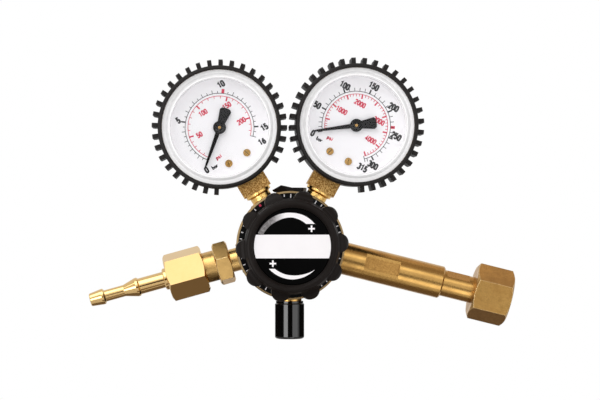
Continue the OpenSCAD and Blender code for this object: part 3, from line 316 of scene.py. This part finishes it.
def clear_plastic(name, matrix):
    """Clear cover with gloss that grows towards its edges, whose rim is painted milky white: painted light
    standing in for the light that the clear rim carries and scatters.
    """
    made = Shader(name, (0.98, 0.97, 0.975), 0.3, Specular_IOR_Level=0.3)
    tree, nodes = made.tree, made.tree.nodes
    see_through = nodes.new("ShaderNodeBsdfTransparent")
    see_through.inputs["Color"].default_value = (0.995, 0.997, 1, 1)
    gloss = nodes.new("ShaderNodeBsdfGlossy")
    gloss.inputs["Color"].default_value = (1, 1, 1, 1)
    scuffs = made.span(made.noise(260, 5.0, 0.7), 0.45, 0.75, 0.05, 0.16)
    made.feed(gloss.inputs["Roughness"], scuffs)
    fresnel = made.node("ShaderNodeFresnel", IOR=1.49)
    clear = made.mixed(made.product(fresnel.outputs["Fac"], 0.35), see_through, gloss)
    reach = made.reach(matrix)
    # Painted light: past RIM_START the clear cover is mixed into a milky white surface
    rim = made.span(reach, RIM_START * MM, (RIM_START + 0.5) * MM, 0, 1)
    cloud = made.span(made.noise(160, 3.0, 0.6), 0.35, 0.65, 0.86, 1)
    whole = made.mixed(made.product(rim, cloud), clear, made.surface)
    tree.links.new(whole.outputs["Shader"], nodes["Material Output"].inputs["Surface"])


along_inlet = along(inlet_axis, body_centre)
along_outlet = along(outlet_axis, body_centre)
along_knob = along((0, 1, 0), body_centre)
along_relief = along(-up, body_centre)

brass("cast_brass", YELLOW_BRASS, 0.4, along_knob, lathe=0.2, grain=0.9, stain=0.4)
brass("bonnet_brass", DULL_BRASS, 0.42, along_knob, lathe=0.6, stain=0.35)
brass("turned_brass", YELLOW_BRASS, 0.22, along_knob, lathe=1.0, stain=0.3)
brass("inlet_brass", YELLOW_BRASS, 0.24, along_inlet, lathe=1.0, grain=0.05, stain=0.35)
brass("stem_brass", YELLOW_BRASS, 0.24, along_inlet, lathe=1.0, grain=0.05, stain=0.35, flat_under=8.3)
# The next two have their edges lightened, partly rubbed wear and partly a painted highlight
brass("outlet_brass", SAND_BRASS, 0.32, along_outlet, lathe=0.6, stain=0.2, edge=0.4, worn_highlight=0.8)
brass("nut_brass", YELLOW_BRASS, 0.33, along_inlet, lathe=0.2, grain=0.35, edge=0.45, worn_highlight=0.6)
# Screws with shade painted into their slots
brass("screw_brass", YELLOW_BRASS, 0.2, along_knob, lathe=0.3, stain=0.3, recess_shade=1.0)
brass("polished_brass", PALE_BRASS, 0.05, along_outlet, YELLOW_BRASS, lathe=0, stain=0.2, edge=0.08)
brass("relief_brass", YELLOW_BRASS, 0.3, along_relief, lathe=1.0, stain=0.4)
moulded("black_knob", (0.0085, 0.006, 0.005), 0.38, 0.012, (0.02, 0.017, 0.016), edge=0.5,
        Specular_IOR_Level=0.09)
moulded("gloss_black", (0.002, 0.002, 0.002), 0.08, 0.001, (0.004, 0.004, 0.004))
moulded("disc_black", (0.002, 0.002, 0.002), 0.2, 0.001, (0.004, 0.004, 0.004), Specular_IOR_Level=0.02)
painted("black_ring", (0.004, 0.004, 0.0045), 0.35, (0.008, 0.008, 0.008), 0.06)
moulded("boot_rubber", (0.015, 0.013, 0.0125), 0.5, 0.02, (0.034, 0.031, 0.03), Specular_IOR_Level=0.14)
painted("dial_white", (0.97, 0.955, 0.97), 0.5, (0.95, 0.93, 0.945))
painted("pointer_black", (0.005, 0.005, 0.0055), 0.4, (0.008, 0.008, 0.008), 0.06)
steel("steel", (0.62, 0.62, 0.63), 0.25, along_knob)
steel("spring_steel", (0.36, 0.37, 0.39), 0.35, along_knob)
moulded("gasket", (0.62, 0.58, 0.5), 0.6, 0.02, (0.4, 0.36, 0.3))
moulded("membrane", (0.04, 0.035, 0.03), 0.7, 0.03)
painted("print_black", INK_BLACK, 0.5, (0.03, 0.03, 0.032), 0.3)
painted("print_red", INK_RED, 0.5, (0.7, 0.06, 0.11), 0.3)
painted("print_white", PRINT_WHITE, 0.4, (0.85, 0.82, 0.83), 0.2)
faded("print_fade", PRINT_WHITE, (0.14, 0.13, 0.13), along((-1, 0, 0), body_centre), start=4, end=10.5)
for side in ("low", "high"):
    centre = Vector(joints[side + "_pointer_turn"]["pos_m"])
    along_gauge = along(Vector((centre.x - body_centre.x, 0, centre.z - body_centre.z)), body_centre)
    clear_plastic(side + "_lens", along((0, 1, 0), centre))
    brass(side + "_socket", SAND_BRASS, 0.42, along_gauge, lathe=0.2, grain=1.25, stain=0.4,
          bright_below=SOCKET_START)

# Pieces whose finish isn't the one of their material slot
finish_of = {
    "low_socket": "low_socket",
    "high_socket": "high_socket",
    "bonnet": "bonnet_brass",
    "low_lens": "low_lens",
    "high_lens": "high_lens",
    "inlet_stem": "stem_brass",
    "inlet_nipple": "inlet_brass",
    "inlet_nut": "nut_brass",
    "outlet_adapter": "outlet_brass",
    "relief_body": "relief_brass",
    "relief_adjuster": "relief_brass",
    "knob_disc": "disc_black",
    "low_dial_screws": "screw_brass",
    "high_dial_screws": "screw_brass",
}


def dress(piece, finish):
    """Gives a piece one finish all over."""
    mesh = piece.data
    mesh.materials.clear()
    mesh.materials.append(materials[finish])


for node, piece in frame["nodes"].items():
    dress(piece, finish_of.get(node, slots[node]))
for side in ("low", "high"):
    frame["nodes"][side + "_lens"].visible_shadow = False


# Thin printed shapes


def bow(x, y, across, tall, start, end):
    """Points of an elliptic arc, in degrees."""
    steps = max(2, ceil(abs(end - start) / 30))
    angles = [radians(start + (end - start) * k / steps) for k in range(steps + 1)]
    return [(x + across * cos(a), y + tall * sin(a)) for a in angles]


# Middle lines of the figures and letters, with capitals 1 high
GLYPHS = {
    "0": [bow(0.21, 0.76, 0.21, 0.24, 0, 180) + bow(0.21, 0.24, 0.21, 0.24, 180, 360) + [(0.42, 0.76)]],
    "1": [[(0.02, 0.76), (0.24, 1), (0.24, 0)]],
    "2": [bow(0.21, 0.74, 0.21, 0.26, 175, -30) + [(0, 0), (0.44, 0)]],
    "3": [bow(0.2, 0.76, 0.2, 0.24, 160, -90), bow(0.2, 0.26, 0.22, 0.26, 90, -160)],
    "4": [[(0.31, 0), (0.31, 1), (0, 0.28), (0.46, 0.28)]],
    "5": [[(0.4, 1), (0.05, 1), (0.03, 0.54)] + bow(0.2, 0.31, 0.22, 0.31, 125, -155)],
    "6": [[(0.33, 1)] + bow(0.42, 0.32, 0.42, 0.5, 125, 180), bow(0.21, 0.29, 0.21, 0.29, 180, 540)],
    "a": [bow(0.19, 0.27, 0.19, 0.27, 0, 360), [(0.38, 0.56), (0.38, 0)]],
    "b": [[(0, 1), (0, 0)], bow(0.19, 0.27, 0.19, 0.27, 180, 540)],
    "i": [[(0.1, 0.56), (0.1, 0)], [(0.1, 0.85), (0.1, 0.7)]],
    "p": [[(0, 0.56), (0, -0.32)], bow(0.19, 0.27, 0.19, 0.27, 180, 540)],
    "r": [[(0, 0.56), (0, 0)], bow(0.2, 0.34, 0.2, 0.2, 180, 60)],
    "s": [bow(0.17, 0.41, 0.16, 0.13, 30, 270) + bow(0.17, 0.14, 0.17, 0.14, 90, -150)],
}
GLYPH_STEP, LETTER_GAP = 0.66, 0.24


class Print:
    """Flat marks on a face, gathered in one mesh. place takes mm in the face's plane to metres."""

    def __init__(self, name, place, finish, body, slot):
        self.name, self.place, self.finish, self.body, self.slot = name, place, finish, body, slot
        self.mesh = bmesh.new()
        self.low, self.high = 0.01, 0.05

    def prism(self, outline):
        """A plate with this outline, given counterclockwise in mm."""
        rings = [[self.mesh.verts.new(self.place(x, y, z)) for x, y in outline]
                 for z in (self.low, self.high)]
        self.mesh.faces.new(rings[1])
        self.mesh.faces.new(rings[0][::-1])
        self.walls(rings)

    def walls(self, rings):
        count = len(rings[0])
        for k in range(count):
            n = (k + 1) % count
            self.mesh.faces.new((rings[0][k], rings[0][n], rings[1][n], rings[1][k]))

    def ribbon(self, inner, outer):
        """A plate between two lines with as many points each."""
        count = len(inner)
        rows = [[self.mesh.verts.new(self.place(x, y, z)) for x, y in line]
                for z in (self.low, self.high) for line in (inner, outer)]
        low_in, low_out, top_in, top_out = rows
        for k in range(count - 1):
            self.mesh.faces.new((top_in[k], top_out[k], top_out[k + 1], top_in[k + 1]))
            self.mesh.faces.new((low_in[k], low_in[k + 1], low_out[k + 1], low_out[k]))
            self.mesh.faces.new((low_out[k], low_out[k + 1], top_out[k + 1], top_out[k]))
            self.mesh.faces.new((low_in[k + 1], low_in[k], top_in[k], top_in[k + 1]))
        for k in (0, count - 1):
            self.mesh.faces.new((low_in[k], low_out[k], top_out[k], top_in[k]))

    def arc(self, radius, width, start, end):
        steps = max(2, ceil(abs(end - start) / 3))
        angles = [radians(start + (end - start) * k / steps) for k in range(steps + 1)]
        lines = [[(r * cos(a), r * sin(a)) for a in angles]
                 for r in (radius - width / 2, radius + width / 2)]
        self.ribbon(*lines)

    def tick(self, angle, r0, r1, width):
        a = radians(angle)
        along_x, along_y = cos(a), sin(a)
        half = width / 2
        self.prism([(r * along_x - s * half * along_y, r * along_y + s * half * along_x)
                    for r, s in ((r0, -1), (r1, -1), (r1, 1), (r0, 1))])

    def stroke(self, points, width):
        """A line of this width through points."""
        edges = [], []
        for k, (x, y) in enumerate(points):
            before = Vector(points[k]) - Vector(points[max(k - 1, 0)])
            after = Vector(points[min(k + 1, len(points) - 1)]) - Vector(points[k])
            before = before.normalized() if before.length > 1e-6 else after.normalized()
            after = after.normalized() if after.length > 1e-6 else before
            middle = (before + after).normalized()
            half = width / 2 / max(0.6, middle.dot(after))
            edges[0].append((x + half * middle.y, y - half * middle.x))
            edges[1].append((x - half * middle.y, y + half * middle.x))
        self.ribbon(*edges)

    def word(self, text, x, y, height, weight):
        """Text centred on (x, y), with capitals of this height and strokes of this weight, in mm."""
        scale = height - weight
        widths = [max(px for line in GLYPHS[letter] for px, py in line) for letter in text]
        if text.isdigit():
            widths = [GLYPH_STEP - LETTER_GAP] * len(text)
        pen = x - scale * (sum(widths) + LETTER_GAP * (len(text) - 1)) / 2
        for letter, width in zip(text, widths):
            for line in GLYPHS[letter]:
                self.stroke([(pen + scale * px, y + scale * (py - 0.5)) for px, py in line], weight)
            pen += scale * (width + LETTER_GAP)

    def done(self):
        bmesh.ops.remove_doubles(self.mesh, verts=self.mesh.verts, dist=1e-8)
        bmesh.ops.recalc_face_normals(self.mesh, faces=self.mesh.faces)
        mesh = bpy.data.meshes.new(self.name)
        self.mesh.to_mesh(mesh)
        self.mesh.free()
        piece = bpy.data.objects.new(self.name, mesh)
        bpy.context.scene.collection.objects.link(piece)
        dress(piece, self.finish)
        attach(piece, self.body)
        return piece


def on_face(centre, right, upward, face_y):
    """Takes (x, y, height) in mm on a face that looks at the viewer to a point in metres."""
    origin = Vector((centre.x, face_y, centre.z))

    def place(x, y, height):
        return origin + MM * (x * right + y * upward + height * towards_viewer)

    return place


def between(value, marks):
    """Angle of a value on a scale given as (value, angle) pairs."""
    for (v0, a0), (v1, a1) in zip(marks, marks[1:]):
        if value <= v1:
            return a0 + (a1 - a0) * (value - v0) / (v1 - v0)
    return marks[-1][1]


def polar(radius, angle):
    return radius * cos(radians(angle)), radius * sin(radians(angle))


# Radii of the dials' arcs, widths of lines and lengths of marks, in mm
BAR_ARC, PSI_ARC = 18.6, 17.1
FINE_LINE, BOLD_LINE, BLOCK_WIDTH = 0.33, 0.8, 1.5
BOLD_MARK, LONG_MARK, END_MARK, SHORT_MARK, PSI_MARK = 2.4, 1.9, 1.8, 1.2, 1.3

# Height and weight of the figures and words, in mm
BAR_FIGURES, PSI_FIGURES, WORDS = (3.85, 0.95), (3.1, 0.66), (2.6, 0.52)


def dial_print(side, bar, psi, small_bar, small_psi, block, numbers_bar, numbers_psi, words):
    """Prints one dial.

    bar and psi are (value, angle) pairs, small_ is the value between two small marks, block is the
    value of the red mark, and numbers_ and words are (text, radius, angle).
    """
    centre = Vector(joints[side + "_pointer_turn"]["pos_m"])
    upward = Vector((centre.x - body_centre.x, 0, centre.z - body_centre.z)).normalized()
    right = Vector((upward.z, 0, -upward.x))
    place = on_face(centre, right, upward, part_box(side + "_dial")[0].y)
    black = Print(side + "_print_black", place, "print_black", "regulator", "pointer_black")
    red = Print(side + "_print_red", place, "print_red", "regulator", "pointer_black")
    first, last = bar[0][1], bar[-1][1]

    black.arc(BAR_ARC, FINE_LINE, first, last)
    black.tick(first, BAR_ARC, BAR_ARC + BOLD_MARK, BOLD_LINE)
    black.tick(last, PSI_ARC, BAR_ARC + END_MARK, FINE_LINE)
    bold_bar = [value for value, angle in bar[:-1]]
    for k in range(1, ceil(bar[-1][0] / small_bar)):
        value = k * small_bar
        if value in bold_bar:
            if value != block:
                black.tick(between(value, bar), BAR_ARC, BAR_ARC + BOLD_MARK, BOLD_LINE)
        else:
            length = LONG_MARK if k % 2 == 0 or small_bar > 1 else SHORT_MARK
            black.tick(between(value, bar), BAR_ARC, BAR_ARC + length, FINE_LINE)
    red.tick(between(block, bar), BAR_ARC + 0.1, BAR_ARC + BOLD_MARK, BLOCK_WIDTH)

    red.arc(PSI_ARC, FINE_LINE, first, last)
    bold_psi = [value for value, angle in psi[:-1]]
    for k in range(1, ceil(psi[-1][0] / small_psi) + 1):
        value = k * small_psi
        if value in bold_psi:
            red.tick(between(value, psi), PSI_ARC - BOLD_MARK, PSI_ARC, BOLD_LINE)
        elif value < psi[-1][0]:
            red.tick(between(value, psi), PSI_ARC - PSI_MARK, PSI_ARC, FINE_LINE)

    for value, reach, angle in numbers_bar:
        black.word(value, *polar(reach, angle), *BAR_FIGURES)
    for value, reach, angle in numbers_psi:
        red.word(value, *polar(reach, angle), *PSI_FIGURES)
    for (text, reach, angle), part in zip(words, (black, red)):
        part.word(text, *polar(reach, angle), *WORDS)
    black.done()
    red.done()


dial_print(
    "low",
    bar=[(0, 219), (5, 140.2), (10, 53.8), (15, -29.2), (16, -45.5)],
    psi=[(0, 219), (50, 166.8), (100, 105.9), (150, 45.3), (200, -12.8), (228, -45.5)],
    small_bar=0.5,
    small_psi=10,
    block=10,
    numbers_bar=[("0", 23.95, 222), ("5", 22.7, 139.2), ("10", 23.5, 57.2), ("15", 24.2, -30.3),
                 ("16", 24.1, -49)],
    numbers_psi=[("50", 11.6, 168.5), ("100", 12, 107.3), ("150", 12.5, 41), ("200", 12.3, -14)],
    words=[("bar", 21.1, 232), ("psi", 15.7, 236.6)],
)
dial_print(
    "high",
    bar=[(0, 218.1), (50, 181.5), (100, 138.1), (150, 96.2), (200, 52), (250, 8.7), (300, -34.7),
         (315, -47.5)],
    psi=[(0, 218.1), (500, 196.2), (1000, 166.5), (1500, 136.1), (2000, 107.2), (2500, 76.2),
         (3000, 45.9), (3500, 15.6), (4000, -14.9), (4500, -44), (4570, -47.5)],
    small_bar=10,
    small_psi=100,
    block=230,
    numbers_bar=[("0", 23.9, 219), ("50", 23.8, 181.4), ("100", 22.5, 134.9), ("150", 23.3, 94.8),
                 ("200", 22.6, 55.1), ("250", 22.4, 14), ("300", 23.3, -38.3), ("315", 23.1, -52.8)],
    numbers_psi=[("1000", 11.4, 163.2), ("2000", 12.05, 109), ("3000", 12.55, 40.4),
                 ("4000", 11, -15.8)],
    words=[("bar", 21.2, 229.6), ("psi", 15.7, 234.4)],
)


def crescent(part, inner, outer):
    """A tapering arc between two edges, each given as (angle, radius) pairs."""
    count = 24
    edges = []
    for edge in (inner, outer):
        first, last = edge[0][0], edge[-1][0]
        turns = [first + (last - first) * k / count for k in range(count + 1)]
        edges.append([polar(between(turn, edge), turn) for turn in turns])
    part.ribbon(*edges)


def plus(part, x, y):
    """A plus sign centred on (x, y)."""
    arm, half = 1.7, 0.42
    part.prism([(x - arm, y - half), (x + arm, y - half), (x + arm, y + half), (x - arm, y + half)])
    for side in (-1, 1):
        low, high = sorted((side * half, side * arm))
        part.prism([(x - half, y + low), (x + half, y + low), (x + half, y + high), (x - half, y + high)])


def knob_print():
    """White band, two tapering arrows and two plus signs on the knob's front disc."""
    disc_low, disc_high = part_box("knob_disc")
    margin, band_half = 0.15, 6.1
    radius = (disc_high.x - disc_low.x) / 2 / MM - margin
    place = on_face(body_centre, Vector((1, 0, 0)), up, disc_low.y)
    white = Print("knob_print", place, "print_white", "knob", "dial_white")
    fading = Print("knob_arrow", place, "print_fade", "knob", "dial_white")

    corner = atan2(band_half, sqrt(radius ** 2 - band_half ** 2))
    steps = 12
    edge = [(radius * cos(a), radius * sin(a))
            for a in (corner * (2 * k / steps - 1) for k in range(steps + 1))]
    white.ribbon([(-x, y) for x, y in edge], edge)

    crescent(fading, [(59.4, 13.6), (90, 15.0), (125, 15.4), (159, 16.4)],
             [(45.3, 16.4), (70, 17.1), (90, 17.4), (123, 18.3), (159, 19.1)])
    crescent(white, [(231.7, 14.7), (270, 14.95), (290, 15.4), (313, 16.55)],
             [(223.4, 16.75), (270, 17), (313, 16.65)])
    plus_reach, upper_angle, lower_angle = 13.45, 43, 221
    for angle in (upper_angle, lower_angle):
        plus(white, *polar(plus_reach, angle))
    fading.done()
    white.done()


def ring_print():
    """Short marks on the ring behind the knob, with a red one where the range ends."""
    low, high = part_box("scale_ring")
    rim = (high.x - low.x) / 2 / MM
    place = on_face(body_centre, Vector((1, 0, 0)), up, low.y)
    white = Print("ring_print", place, "print_white", "regulator", "dial_white")
    red = Print("ring_print_red", place, "print_red", "regulator", "dial_white")
    step, first_mark, red_mark, last_mark = 7.5, -8, 17, 32
    for k in range(first_mark, last_mark + 1):
        part, width = (red, 1.2) if k == red_mark else (white, 0.5)
        depth = 2.6 if k % 4 == 0 else 1.8
        part.tick(k * step, rim - depth, rim - 0.5, width)
    white.done()
    red.done()


knob_print()
ring_print()


def helix(name, matrix, radius, depth, pitch, start, end, finish, body):
    """Inside thread: a V ridge that winds round the z axis of matrix from start to end, in mm."""
    mesh = bmesh.new()
    per_turn, run_out = 48, 12
    foot, crest = 0.42, 0.07
    count = int((end - start) / pitch * per_turn)
    rings = []
    for k in range(count + 1):
        angle = 2 * pi * k / per_turn
        z = start + pitch * k / per_turn
        rise = depth * min(1, k / run_out, (count - k) / run_out)
        profile = ((0, -foot), (rise, -crest), (rise, crest), (0, foot))
        rings.append([
            mesh.verts.new(matrix @ (MM * Vector((
                (radius - out) * cos(angle), (radius - out) * sin(angle), z + pitch * step))))
            for out, step in profile
        ])
    for a, b in zip(rings, rings[1:]):
        for k in range(4):
            n = (k + 1) % 4
            mesh.faces.new((a[k], a[n], b[n], b[k]))
    mesh.faces.new(rings[0][::-1])
    mesh.faces.new(rings[-1])
    bmesh.ops.recalc_face_normals(mesh, faces=mesh.faces)
    data = bpy.data.meshes.new(name)
    mesh.to_mesh(data)
    mesh.free()
    piece = bpy.data.objects.new(name, data)
    bpy.context.scene.collection.objects.link(piece)
    dress(piece, finish)
    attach(piece, body)
    return piece


THREAD_PITCH, THREAD_DEPTH, THREAD_SINK = 1.814, 0.98, 0.02
THREAD_START, THREAD_END_GAP = 0.6, 0.3
nut_mount = next(m for m in frame["record"]["mounts"] if m["name"] == "inlet")
helix("inlet_thread", along(inlet_axis, Vector(nut_mount["pos_m"])),
      nut_mount["dims"]["r_mm"] + THREAD_SINK, THREAD_DEPTH, THREAD_PITCH, THREAD_START,
      nut_mount["dims"]["length_mm"] - THREAD_END_GAP, "nut_brass", "inlet_nut")


# Camera, light and surroundings

DISTANCE = 1.0
FOCAL_PIXELS, IMAGE_WIDTH, SENSOR = 1830, 600, 36
yaw, pitch = radians(1.6), radians(-1.0)
sight = Vector((sin(yaw) * cos(pitch), cos(yaw) * cos(pitch), sin(pitch)))
aim = body_centre + Vector((5.7 * MM, 0, 24.4 * MM))

camera_data = bpy.data.cameras.new("camera")
camera_data.lens = FOCAL_PIXELS / IMAGE_WIDTH * SENSOR
camera_data.sensor_width = SENSOR
camera = bpy.data.objects.new("camera", camera_data)
camera.location = body_centre - DISTANCE * sight
camera.rotation_euler = (aim - camera.location).to_track_quat("-Z", "Y").to_euler()
bpy.context.scene.collection.objects.link(camera)
bpy.context.scene.camera = camera


def around(direction, distance):
    """A point at a distance from the body in a direction."""
    return body_centre + distance * Vector(direction).normalized()


def aimed(piece, place, target, axis):
    """Puts a piece at a place, with its axis turned to the target."""
    piece.location = place
    piece.rotation_euler = (target - place).to_track_quat(axis, "Y").to_euler()
    bpy.context.scene.collection.objects.link(piece)


def soft_lamp(name, place, size, radiance, **visible):
    """A rectangular lamp that faces the body. visible turns off what it lights."""
    data = bpy.data.lights.new(name, "AREA")
    data.shape = "RECTANGLE"
    data.size, data.size_y = size
    data.energy = radiance * pi * size[0] * size[1]
    lamp = bpy.data.objects.new(name, data)
    lamp.visible_camera = False
    for kind, shown in visible.items():
        setattr(lamp, "visible_" + kind, shown)
    aimed(lamp, place, body_centre, "-Z")


CARD_TINT = (1, 0.8, 0.64, 1)


def card(name, place, target, size, radiance, tilt=0):
    """A card that only shows in reflections, which gives metal and gloss their contrast."""
    mesh = bmesh.new()
    bmesh.ops.create_grid(mesh, x_segments=1, y_segments=1, size=0.5)
    data = bpy.data.meshes.new(name)
    mesh.to_mesh(data)
    mesh.free()
    made = Shader(name, (0, 0, 0), 1.0, Specular_IOR_Level=0, Emission_Strength=radiance)
    made.surface.inputs["Emission Color"].default_value = CARD_TINT
    data.materials.append(made.material)
    piece = bpy.data.objects.new(name, data)
    piece.scale = (*size, 1)
    piece.visible_camera = False
    piece.visible_diffuse = False
    piece.visible_shadow = False
    piece.visible_transmission = False
    aimed(piece, place, target, "Z")
    piece.rotation_euler.rotate_axis("Z", radians(tilt))
    piece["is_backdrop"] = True


soft_lamp("key", around((-0.42, -0.5, 0.76), 1.25), (1.0, 0.75), 2.6)
soft_lamp("front", around((0.1, -0.88, 0.47), 1.2), (0.95, 0.36), 0.95)
soft_lamp("low", body_centre + Vector((0.07, -0.2, -0.19)), (0.13, 0.12), 1.4)
soft_lamp("wash", around((0.05, -1, 0.1), 1.2), (0.6, 0.6), 2.2, glossy=False)
soft_lamp("left_strip", around((-0.515, -0.857, -0.1), 1.2), (0.65, 0.5), 5.0, diffuse=False)
soft_lamp("right_strip", around((0.68, -0.73, -0.1), 1.2), (0.95, 0.5), 1.35, diffuse=False)
soft_lamp("top", around((0.1, 0.6, 0.8), 1.2), (0.8, 0.6), 1.5, glossy=False)
soft_lamp("back", around((0.3, 0.9, 0.3), 1.2), (1.0, 0.8), 1.5, glossy=False)

card("middle_card", body_centre + Vector((0, -0.6, -0.09)), body_centre, (0.38, 0.17), 0.13,
     tilt=40)
card("low_card", body_centre + Vector((0, 0.08, -0.23)), body_centre, (0.42, 0.3), 0.22)
card("low_left_card", body_centre + Vector((-0.03, -0.12, -0.19)), body_centre, (0.1, 0.08), 0.3)
card("high_card", body_centre + Vector((0.237, -0.177, 0.418)), body_centre, (0.35, 0.28), 0.4)
card("far_card", body_centre + Vector((0.28, 0.174, 0.418)), body_centre, (0.3, 0.3), 0.75)

# Dark cards close by the relief cap, which leave two bright bands between them
cap_low, cap_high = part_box("relief_cap")
cap_centre = (cap_low + cap_high) / 2
CAP_RADIANCE = 0.02
for name, x, y, size, facing in (
    ("cap_front", 0.003, -0.06, (0.037, 0.03), (0, 1, 0)),
    ("cap_left", -0.035, 0.014, (0.092, 0.03), (1, 0, 0)),
    ("cap_right", 0.022, 0.0143, (0.047, 0.028), (-1, 0, 0)),
):
    spot = cap_centre + Vector((x, y, 0))
    card(name, spot, spot + Vector(facing), size, CAP_RADIANCE)


def white_where_seen(tree, shader, lit_strength, seen_strength):
    """Strength that is seen_strength for camera, glossy and transmission rays."""
    path = tree.nodes.new("ShaderNodeLightPath")
    seen = tree.nodes.new("ShaderNodeMath")
    seen.operation = "MAXIMUM"
    either = tree.nodes.new("ShaderNodeMath")
    either.operation = "MAXIMUM"
    tree.links.new(path.outputs["Is Camera Ray"], either.inputs[0])
    tree.links.new(path.outputs["Is Glossy Ray"], either.inputs[1])
    tree.links.new(either.outputs[0], seen.inputs[0])
    tree.links.new(path.outputs["Is Transmission Ray"], seen.inputs[1])
    strength = tree.nodes.new("ShaderNodeMapRange")
    strength.inputs["To Min"].default_value = lit_strength
    strength.inputs["To Max"].default_value = seen_strength
    tree.links.new(seen.outputs[0], strength.inputs["Value"])
    tree.links.new(strength.outputs["Result"], shader.inputs["Strength"])


def surroundings():
    """White surroundings, dimmer where they light the part than where they are seen."""
    world = bpy.data.worlds.new("studio")
    bpy.context.scene.world = world
    world.use_nodes = True
    background = world.node_tree.nodes["Background"]
    background.inputs["Color"].default_value = (1, 1, 1, 1)
    white_where_seen(world.node_tree, background, lit_strength=0.55, seen_strength=1.0)


FLOOR_DROP = 0.25


def floor():
    """A pale floor well below the part, which takes its shadow."""
    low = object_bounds()[0][2] - FLOOR_DROP
    mesh = bmesh.new()
    bmesh.ops.create_grid(mesh, x_segments=8, y_segments=8, size=2.0)
    data = bpy.data.meshes.new("floor")
    mesh.to_mesh(data)
    mesh.free()
    piece = bpy.data.objects.new("floor", data)
    piece.location = (body_centre.x, 0, low)
    bpy.context.scene.collection.objects.link(piece)
    made = Shader("floor", (0.8, 0.8, 0.8), 0.9)
    made.set("Base Color", made.blend(made.noise(6, 2.0), (0.8, 0.8, 0.8), (0.78, 0.78, 0.78)))
    data.materials.append(made.material)
    piece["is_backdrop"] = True


surroundings()
floor()
bpy.context.scene.view_settings.view_transform = "Standard"
